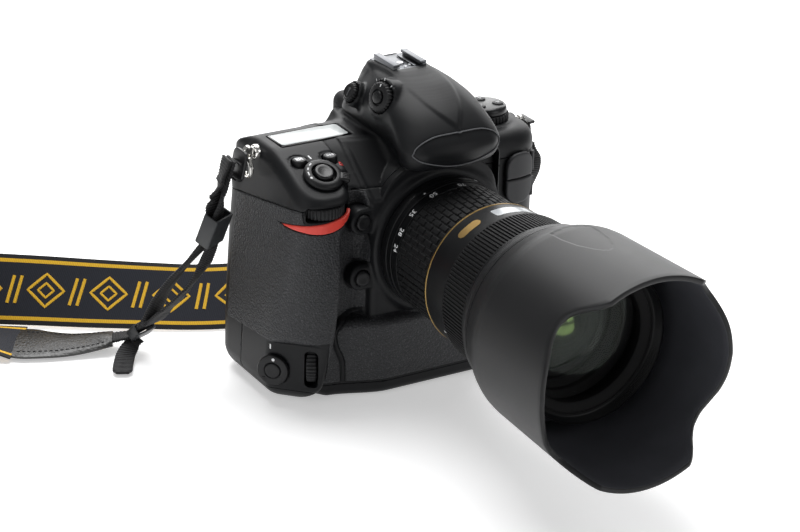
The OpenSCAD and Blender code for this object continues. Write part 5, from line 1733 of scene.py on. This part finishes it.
# index marks on the two collars
g = Geo()
for a, r0, rad, m_ in ((0, 9.35, 0.5, M_METER), (38, 9.35, 0.36, M_METER), (-38, 9.35, 0.36, M_METER)):
    A0 = m_ @ frame4((0, 0, 0), ("z", a))
    g.add(*rbox((r0, 0, 1.93), (rad * 1.5, rad * 0.55, 0.06), 0.04, 1), 0, A0)
g.add(*rbox((6.2, 0, 1.62), (0.5, 0.22, 0.06), 0.04, 1), 0, M_DIOP)
g.obj("collar_marks", [M_WHITE], "root", (), "body_paint", smooth=False)

# release dial: ribbed ring, polished cap, three small buttons
M_REL = frame4((48.5, -2, 120.5))
g = Geo(M_REL)
fn = knurl(34, 0.6, 0.55, 0.4)
g.add(*lathe([(6.1, 0.3), (11.0, 0.3), (11.4, 0.6), (11.8, 1.0), (11.8, 3.6), (11.5, 4.05), (10.9, 4.35), (6.1, 4.35)], 34 * 8, lambda r, h, a: fn(r, h, a) if r > 11.3 else r, closed=True))
g.obj("release_dial_piece", [M_RUBBER], "release_dial", ("release_dial",), "control_plastic", sharp=38)
g = Geo(M_REL)
g.add(*lathe([(0.02, -1), (6, -1), (6, 4.75), (10.4, 4.75), (10.75, 5.0), (10.8, 6.0), (10.6, 7.0), (10.1, 7.8), (9.3, 8.25), (8.4, 8.4), (0.02, 8.45)], 96))
for a in (90, 210, 330):
    c = (6 * math.cos(math.radians(a)), 6 * math.sin(math.radians(a)))
    g.add(*lathe([(2.85, 8.46), (3.2, 8.52), (3.4, 8.42)], 40), 0, frame4((c[0], c[1], 0)))
g.obj("release_cap_piece", [M_GLOSSP], "root", (), "body_paint")
for nm, a in (("quality_button", 90), ("balance_button", 210), ("sensitivity_button", 330)):
    g = Geo(M_REL @ frame4((6 * math.cos(math.radians(a)), 6 * math.sin(math.radians(a)), 0)))
    g.add(*lathe([(0.02, 6.8), (2.8, 6.8), (2.8, 8.7), (2.65, 9.0), (2.3, 9.18), (0.02, 9.2)], 44))
    g.add(*prism_pad(bar(0, 0.5, 2.0, 0.4), 9.16, 9.25, 0.02, 1), 1)
    g.add(*prism_pad(bar(0, -0.5, 1.2, 0.4), 9.16, 9.25, 0.02, 1), 1)
    g.obj(nm + "_piece", [M_PLASTIC, M_WHITE], nm, (nm,), "control_plastic")

# terminal covers: two halves of one rounded rubber flap round the front corner
def cover_field(z0, z1, up):
    """Flap along the flat front and round the corner; u runs along its face."""
    ue = math.radians(31) * 21.6
    uc, hu = (ue - 5.8) / 2, (ue + 5.8) / 2

    def f(x, y, z):
        flat = x < 50
        rr = np.where(flat, -(y + 8), np.sqrt((x - 50) ** 2 + (y + 8) ** 2))
        u = np.where(flat, x - 50, (np.arctan2(y + 8, x - 50) + F32(math.pi / 2)) * 21.6)
        e = 10 if up else -10
        q = rect(u, z, (uc, (z0 + z1) / 2 - e), (hu, (z1 - z0) / 2 + 10), 7.6)
        q = np.maximum(q, (z0 - z) if up else (z - z1))
        d = rmax(q, np.maximum(rr - 22.9, 20.3 - rr), 1.1)
        k = np.sqrt((x - 61.819) ** 2 + (y + 26.199) ** 2) - 1.2
        return np.minimum(d, np.maximum(k, np.maximum(z0 + 1.5 - z, z - z1 + 1.5)))
    return f


M_COVER = plastic_mat("flap_rubber", (0.0185, 0.0190, 0.0215), 0.55, grain=0.00003, spec=0.4)
for nm, z0, z1, up in (("terminal_cover_upper", 97.3, 110.7, True), ("terminal_cover_lower", 83.5, 96.9, False)):
    field_piece(nm + "_piece", cover_field(z0, z1, up), (42, -34, z0 - 2), (66, -22, z1 + 2), 0.45, [M_COVER], (nm,), "grip_rubber", body=nm)
# sockets behind the covers
g = Geo()
for zc in (90.2, 104.0):
    A0 = frame4((51.4, 0, zc), ("x", 90))
    g.add(*lathe([(4.8, 21.6), (4.8, 27.4), (4.5, 27.7), (4.0, 27.7), (3.8, 27.4), (3.8, 23.0), (0.02, 23.0)], 48), 0, A0)
    for k in range(6):
        c = (2.1 * math.cos(k * math.pi / 3), 2.1 * math.sin(k * math.pi / 3))
        g.add(*lathe([(0.42, 22.9), (0.42, 25.4), (0.3, 25.8), (0.02, 25.9)], 14), 1, A0 @ frame4((c[0], c[1], 0)))
g.obj("terminal_sockets", [M_MOUNT, M_CONTACT], "root", (), "mount_steel")

# accessory shoe, strap lugs
M_SHOE = metal_mat("dark_shoe_steel", (0.13, 0.135, 0.145), 0.34, brush=(1, 12, 1))
g = Geo(frame4((0, -9, 0)))
g.add(*rbox((0, 14.0, 155.72), (9.5, 11.9, 0.7), 0.3, 2))
for s in (-1, 1):
    g.add(*rbox((s * 8.3, 12.1, 157.2), (1.2, 10.0, 1.5), 0.3, 2))
    g.add(*rbox((s * 7.7, 12.1, 159.25), (1.8, 10.0, 0.75), 0.35, 3))
    g.add(*rbox((s * 5.2, 13.6, 156.9), (1.1, 8.5, 0.25), 0.2, 2), 0, frame4((0, 0, 0), ("x", 0)))
g.add(*rbox((0, 2.7, 156.6), (9.2, 0.7, 0.9), 0.3, 2))
g.add(*lathe([(0.02, 0.9), (1.6, 0.85), (2.0, 0.5), (2.1, 0.0)], 32), 1, frame4((0, 12, 156.4)))
for px, py in ((-3.4, 8.2), (3.4, 8.2), (0, 6.4)):
    g.add(*lathe([(0.02, 0.6), (0.7, 0.55), (0.9, 0.2), (0.95, 0.0)], 24), 1, frame4((px, py, 156.4)))
for px, py in ((-4.4, 20.5), (4.4, 20.5), (-4.4, 5.4), (4.4, 5.4)):
    g.add(*lathe([(0.02, 0.3), (1.1, 0.3), (1.3, 0.0)], 24), 0, frame4((px, py, 156.4)))
g.obj("hot_shoe_piece", [M_SHOE, M_STEEL], "root", ("hot_shoe",), "mount_steel")
g = Geo()
for M0 in (frame4((-78.6, 6, 122.5), ("y", 7.4)) @ np.diag([-1.0, 1.0, 1.0, 1.0]) @ frame4((0.5, 0, 0)), frame4((70.05, 6, 112))):
    g.add(*lathe([(0.02, -0.4), (3.6, -0.4), (3.6, 1.4), (3.2, 2.0), (2.4, 2.4), (0.02, 2.5)], 48), 0, M0 @ frame4((0, 0, 0), ("y", 90)))
    prof = []
    n = 40
    ring = []
    for k in range(n):
        a = 2 * math.pi * k / n
        ring.append((4.8 + 3.0 * math.cos(a), 0, -0.9 + 4.1 * math.sin(a)))
    inner = [(4.8 + 1.55 * math.cos(2 * math.pi * k / n), 0, -2.4 + 1.55 * math.sin(2 * math.pi * k / n)) for k in range(n)]
    V = []
    for q, e in ((0.35, -1.35), (0.0, -1.0), (0.0, 1.0), (0.35, 1.35)):
        for p, r_ in zip(ring, inner):
            V.append((p[0] + (r_[0] - p[0]) * q * 0.4, e, p[2] + (r_[2] - p[2]) * q * 0.4))
    for e in (1.2, -1.2):
        for r_ in inner:
            V.append((r_[0], e, r_[2]))
    g.add(V, ngrid(6, n, close_u=True, close_v=True), 0, M0)
    g.add(*rbox((1.9, 0, -0.8), (1.6, 1.3, 3.6), 0.9, 3), 0, M0)
g.obj("strap_lugs_piece", [M_CHROME], "root", ("strap_lugs",), "fitting_steel")

# marks and outlines laid on the casing
g = Geo()
dU, dW = M_DECK[:3, 0], M_DECK[:3, 1]
decal(g, [bar(0, 0, 0.8, 2.8, 8)], (-60.4, -14.6, 123.6), dU, dW, 0, solid_body, lift=0.16)
decal(g, [bar(0, 0, 0.75, 2.6)], (-86.6, -23.4, 30.4), (0.707, -0.707, 0), (0, 0, 1), 0, solid_body)
decal(g, [bar(-1.6, 0, 0.5, 2.2, -10), bar(1.9, 0.2, 0.5, 2.0, -10), bar(0.1, 1.1, 3.6, 0.5, 2), bar(0.1, -1.0, 3.6, 0.5, 2), bar(0.1, 0, 1.8, 0.6, 2)], (-46.4, -22.9, 121.6), dU, dW, 1, solid_body)
g.obj("casing_marks", [M_WHITE, M_REDINK], "root", (), "body_paint", smooth=False)
BADGE = spline([(-24.8, 131), (-23, 134.4), (-19, 137.3), (-12, 139.4), (0, 140), (12, 139.4), (19, 137.3), (23, 134.4), (24.8, 131), (22, 128.6), (14, 126.0), (7, 124.3), (0, 123.6), (-7, 124.3), (-14, 126.0), (-22, 128.6), (-24.8, 131)], 200)
P = march(np.column_stack([BADGE[:-1, 0], np.full(199, -80.0), BADGE[:-1, 1]]), (0, 1, 0), solid_body, 60)
P[:, 1] -= 0.02
g = Geo()
g.add(*tube_path(P, 0.34, 8, closed=True))
g.obj("badge_outline", [M_DGREY], "root", (), "body_paint")
# ------------------------------------------------------------------ windows, finder and the back
def window_mat(name, c, rough=0.06, spec=0.5, var=0.15):
    m = Mat(name, c, rough, spec=spec)
    n = m.noise(90, 3, 0.5)
    m.color(m.mix(n, tuple(k * (1 - var) for k in c), tuple(min(1, k * (1 + var)) for k in c)))
    m.rough(m.noise(400, 2, 0.5), rough * 0.7, rough * 1.4)
    return m.m


M_PANEL = window_mat("status_panel_grey", (0.60, 0.63, 0.63), 0.16, var=0.03)
M_BLACKG = window_mat("black_window_glass", (0.0040, 0.0042, 0.0048), 0.045)
M_SCREEN = window_mat("screen_layer", (0.0095, 0.0105, 0.0130), 0.10)
M_FINDER = window_mat("finder_glass", (0.010, 0.012, 0.016), 0.03)
M_MIRROR = metal_mat("front_silvered", (0.88, 0.89, 0.90), 0.03)

# status window of the deck: dark frame and a pale panel with a rounded corner
g = Geo()
g.add(*rbox((-49.5, 6, 125.5), (19.7, 8.2, 0.69), 0.45, 3))
g.add(*prism_pad(rrect(-49.5, 6.1, 18.6, 7.1, 1.6), 126.1, 126.24, 0.06, 2), 1)
g.obj("top_window_piece", [M_BLACKG, M_PANEL], "root", ("top_lcd_window",), "display_glass")

# rear screen: bevelled pane with its picture area set behind a black border
M_BACK = frame4((0, 0, 0), ("x", -90))          # local (x, -z, y)
g = Geo()
g.add(*rbox((-2, 37.2, 60), (35.3, 1.2, 28.3), 0.7, 4))
g.add(*prism_pad(rrect(-2, -60.4, 31.6, 24.0, 0.8), 38.38, 38.46, 0.03, 1), 1, M_BACK)
g.obj("rear_screen_piece", [M_BLACKG, M_SCREEN], "root", ("rear_monitor",), "dark_glass")

# lower status window of the back
g = Geo()
g.add(*prism_pad(rrect(-2, -16.4, 26.5, 5.2, 1.8), 33.2, 34.7, 0.5, 3), 0, M_BACK)
g.add(*prism_pad(rrect(-2, -16.4, 24.6, 3.9, 0.9), 34.6, 34.78, 0.06, 1), 1, M_BACK)
g.obj("rear_status_window", [M_BLACKG, M_SCREEN], "root", (), "dark_glass")


def rr_loop(hx, hz, r, y, cz=122.0, n=7):
    return [(px, y, pz) for px, pz in rrect(0, cz, hx, hz, r, n)]


# finder cup: soft rounded frame that flares to the eye
secs = [(15.2, 8.6, 3.0, 20.4), (15.8, 9.0, 3.4, 30.0), (16.0, 9.2, 3.6, 34.4), (16.6, 9.7, 4.2, 35.2), (17.0, 10.0, 4.6, 36.6), (17.0, 10.0, 4.8, 39.6), (16.7, 9.7, 4.9, 41.0), (16.0, 9.1, 4.7, 41.8), (15.0, 8.4, 4.4, 42.0),
        (14.0, 7.8, 4.0, 41.7), (13.2, 7.2, 3.4, 40.6), (12.6, 6.85, 2.8, 38.0), (12.1, 6.6, 2.4, 34.0), (12.02, 6.52, 2.2, 30.7), (12.02, 6.52, 2.2, 20.4)]
V = [p for s_ in secs for p in rr_loop(*s_)]
g = Geo()
g.add(V, ngrid(len(secs), 32, close_u=True, close_v=True))
for k in range(5):
    for s_ in (-1, 1):
        g.add(*rbox((s_ * 16.95, 38.1, 117.2 + 2.4 * k), (0.25, 1.5, 0.35), 0.2, 2))
g.obj("finder_cup_piece", [M_RUBBER], "root", ("eyepiece_cup",), "grip_rubber", sharp=50)
g = Geo()
secs = [(0.3, 0.3, 0.1, 31.0), (6, 3.4, 1.4, 30.9), (10.2, 5.4, 1.8, 30.6), (11.6, 6.2, 2.0, 30.2), (11.95, 6.46, 2.1, 29.6), (11.95, 6.46, 2.1, 28.2), (11.6, 6.2, 2.0, 28.0), (6, 3.4, 1.4, 28.0), (0.3, 0.3, 0.1, 28.0)]
g.add([p for s_ in secs for p in rr_loop(*s_)], ngrid(len(secs), 32, close_v=True))
g.obj("finder_glass_piece", [M_FINDER], "root", ("eyepiece_glass",), "optical_glass", sharp=50)

# four-way selector with its arrows
g = Geo(frame4((-58, 0, 90), ("x", -90)))
g.add(*lathe([(0.02, 33.0), (3.0, 33.0), (3.0, 35.4), (7.5, 35.4), (7.9, 35.7), (8.0, 36.2), (7.9, 36.9), (7.4, 37.5), (6.6, 37.78), (5.6, 37.7), (4.4, 37.35), (3.0, 37.1), (1.6, 37.0), (0.02, 37.0)], 72))
g.add(*rbox((0, 0, 33.3), (2.6, 1.2, 1.3), 0.5, 2))
for k in range(4):
    A0 = frame4((0, 0, 0), ("z", 90 * k))
    g.add(*prism_pad([(5.2, -0.95), (6.7, 0.0), (5.2, 0.95)], 37.55, 37.86, 0.05, 1), 1, A0)
g.obj("selector_piece", [M_RUBBER, M_DGREY], "multi_selector", ("multi_selector",), "control_plastic")

# card door: rounded leaf with a soft thumb pad, on a knuckled hinge
g = Geo()
g.add(*rbox((-59.6, 35.6, 59), (13.0, 1.3, 19.0), 1.1, 4))
g.add(*prism_pad(rrect(-60.4, -59.4, 10.2, 15.8, 4.5), 36.6, 37.3, 0.5, 3), 1, M_BACK)
for k in range(6):
    g.add(*rbox((-49.0, 36.95, 52.0 + 2.8 * k), (1.2, 0.42, 0.55), 0.3, 2), 0)
for k in range(5):
    z0 = 40.0 + 7.6 * k
    g.add(*lathe([(0.02, 0.15), (1.25, 0.15), (1.5, 0.4), (1.5, 7.2), (1.25, 7.45), (0.02, 7.45)], 28), 0, frame4((-73.9, 35.75, z0)))
g.add(*rbox((-72.9, 35.5, 59), (0.9, 0.9, 18.6), 0.4, 2))
g.obj("card_door_piece", [M_PAINT, M_SKIN], "card_door", ("card_door",), "body_paint")

# playback and menu buttons
for nm, zc in (("playback_button", 100.0), ("menu_button", 84.0)):
    g = Geo(frame4((46, 0, zc), ("x", -90)))
    g.add(*lathe([(0.02, 29.8), (5.0, 29.8), (5.0, 30.9), (4.0, 31.0), (4.0, 35.1), (3.85, 35.6), (3.5, 35.9), (3.0, 36.0), (0.02, 36.0)], 56))
    if nm == "playback_button":
        for b in (bar(0, 1.55, 3.9, 0.28), bar(0, -1.55, 3.9, 0.28), bar(-1.9, 0, 0.28, 3.3), bar(1.9, 0, 0.28, 3.3), [(-0.7, -0.95), (1.05, 0), (-0.7, 0.95)]):
            g.add(*prism_pad(b, 35.97, 36.05, 0.02, 1), 1)
    else:
        for k in (-1.1, 0.0, 1.1):
            g.add(*prism_pad(bar(0.4, k, 2.6, 0.38), 35.97, 36.05, 0.02, 1), 1)
            g.add(*prism_pad(bar(-1.6, k, 0.45, 0.42), 35.97, 36.05, 0.02, 1), 1)
    g.obj(nm + "_piece", [M_PLASTIC, M_WHITE], nm, (nm,), "control_plastic")

# battery with its end cap and folding key
M_CELL = plastic_mat("battery_case_grey", (0.030, 0.031, 0.034), 0.46)
g = Geo()
g.add(*rbox((21.0, 7, 18.7), (45.0, 16.0, 10.5), 1.6, 3), 1)
g.add(*rbox((16, 7, 29.1), (28, 12, 0.2), 0.15, 1), 2)
for k in range(4):
    g.add(*rbox((-23.9, -2 + 6 * k, 18.7), (0.3, 1.3, 5.5), 0.2, 1), 3)
g.add(*rbox((67.9, 7, 19), (2.0, 18.4, 12.4), 1.7, 4), 0)
A0 = frame4((69.6, 14.5, 19), ("y", 90))
g.add(*lathe([(0.02, 0.0), (6.4, 0.0), (6.4, 0.5), (6.1, 0.8), (5.6, 0.85), (0.02, 0.7)], 56), 0, A0)
g.add(*rbox((70.6, 14.5, 19), (0.5, 1.0, 5.2), 0.4, 2), 2)
for k in range(4):
    g.add(*rbox((69.95, -3.5 + 2.2 * k, 19), (0.35, 0.5, 6.0), 0.3, 2), 0)
g.obj("battery_piece", [M_PAINT, M_CELL, M_DGREY, M_CONTACT], "battery", ("battery",), "battery_case")

# threaded bush, base screws
thread = []
for k in range(5):
    z0 = 0.35 + 1.22 * k
    thread += [(3.42, z0), (3.18, z0 + 0.42), (3.18, z0 + 0.62), (3.42, z0 + 1.04)]
g = Geo()
g.add(*lathe([(3.6, 0.02)] + thread + [(3.18, 6.5), (0.02, 6.5)], 72))
g.add(*lathe([(3.6, 0.02), (8.6, 0.02), (8.9, 0.3), (8.95, 0.8), (8.95, 2.02), (11.0, 2.05), (11.0, 4.0), (9.0, 4.05), (9.0, 7.8), (0.02, 7.8)], 72))
# three small dark discs on the flange: painted shade where holes would be
for k in range(3):
    a = math.radians(30 + 120 * k)
    g.add(*lathe([(0.02, -0.02), (0.75, -0.02), (0.9, 0.1)], 20), 1, frame4((6.2 * math.cos(a), 6.2 * math.sin(a), 0)))
g.obj("tripod_bush_piece", [M_STEEL, M_DARK], "root", ("tripod_bush",), "mount_steel")
g = Geo()
for k, (px, py) in enumerate(((-70, 14), (-66, -20), (56, 20), (52, -16))):
    A0 = frame4((px, py, 0), ("z", 20 + 37 * k))
    g.add(*lathe([(0.02, 0.14), (1.0, 0.16), (1.45, 0.3), (1.66, 0.6), (1.66, 2.0), (1.2, 2.02), (1.2, 4.8), (0.02, 4.9)], 32), 0, A0)
    # dark crossed bars on each head: painted shade of the cross slot
    g.add(*rbox((0, 0, 0.16), (0.95, 0.2, 0.06), 0.05, 1), 1, A0)
    g.add(*rbox((0, 0, 0.16), (0.2, 0.95, 0.06), 0.05, 1), 1, A0)
g.obj("base_screws_piece", [M_STEEL, M_DARK], "root", ("body_screws",), "mount_steel")

# swinging mirror on its pivot
g = Geo(frame4((0, -1.9, 90), ("x", 45)))
g.add(*rbox((0, -14.9, -0.25), (19.0, 14.3, 0.54), 0.3, 2), 1)
g.add(*prism_pad(rrect(0, -15.0, 18.7, 13.9, 1.2), 0.2, 0.8, 0.12, 2), 0)
g.add(*lathe([(0.02, -19), (1.0, -19), (1.2, -18.8), (1.2, 18.8), (1.0, 19), (0.02, 19)], 28), 1, frame4((0, 0, 0), ("y", 90)))
g.obj("mirror_piece", [M_MIRROR, M_DARK], "reflex_mirror", ("reflex_mirror",), "mirror_glass")

# bayonet ring with three claws and its screws; rear lens group
g = Geo(frame4((0, 0, AX), ("x", 90)))
g.add(*lathe([(23.5, 36.1), (32.2, 36.1), (32.4, 36.3), (32.4, 40.7), (32.1, 41.0), (25.4, 41.0), (25.0, 40.7), (25.0, 38.6), (23.5, 38.5)], 128, closed=True))
for k in range(3):
    a0 = 40 + 120 * k
    n = 16
    V = []
    for i in range(n + 1):
        a = math.radians(a0 + 52 * i / n)
        for r_, h_ in ((25.1, 39.2), (23.6, 39.2), (23.5, 39.35), (23.5, 40.5), (23.7, 40.7), (25.1, 40.7)):
            V.append((r_ * math.cos(a), r_ * math.sin(a), h_))
    F = ngrid(n + 1, 6, close_v=True)
    F.append(tuple(range(6))[::-1])
    F.append(tuple(n * 6 + i for i in range(6)))
    g.add(V, F, 0)
for k in range(5):
    a = math.radians(18 + 72 * k)
    A0 = frame4((28.8 * math.cos(a), 28.8 * math.sin(a), 0))
    g.add(*lathe([(1.5, 41.02), (1.3, 41.1), (0.02, 41.12)], 24), 1, A0)
    # dark bar on each head: painted shade of the slot
    g.add(*rbox((0, 0, 41.12), (0.95, 0.17, 0.04), 0.03, 1), 2, A0)
g.obj("mount_ring_piece", [M_MOUNT, M_STEEL, M_DARK], "root", ("lens_mount_ring",), "mount_steel")
g = Geo(frame4((0, 0, AX), ("x", 90)))
g.add(*lathe([(0.02, 40.9), (8, 40.75), (15, 40.3), (18.4, 40.0), (20.6, 40.0), (20.9, 40.2), (20.95, 43.3), (20.6, 43.5), (12, 43.1), (0.02, 42.9)], 96))
g.obj("rear_group_piece", [M_FINDER], "lens", ("rear_element",), "optical_glass")
# ------------------------------------------------------------------ parts inside, kept as they are and given their surfaces
M_GLASSBLOCK = window_mat("prism_glass", (0.42, 0.46, 0.48), 0.05, var=0.08)
M_SCREENMAT = window_mat("ground_screen", (0.62, 0.64, 0.63), 0.55, var=0.05)
M_SENSOR = window_mat("sensor_face", (0.020, 0.050, 0.040), 0.12, var=0.3)
for nm, m_ in (("chassis", M_ALU), ("pentaprism", M_GLASSBLOCK), ("focusing_screen", M_SCREENMAT), ("image_sensor", M_SENSOR), ("shutter_unit", M_DARK), ("main_board", M_BOARD)):
    NODES[nm].data.materials.clear()
    NODES[nm].data.materials.append(m_)
# ------------------------------------------------------------------ the end
bpy.context.view_layer.update()
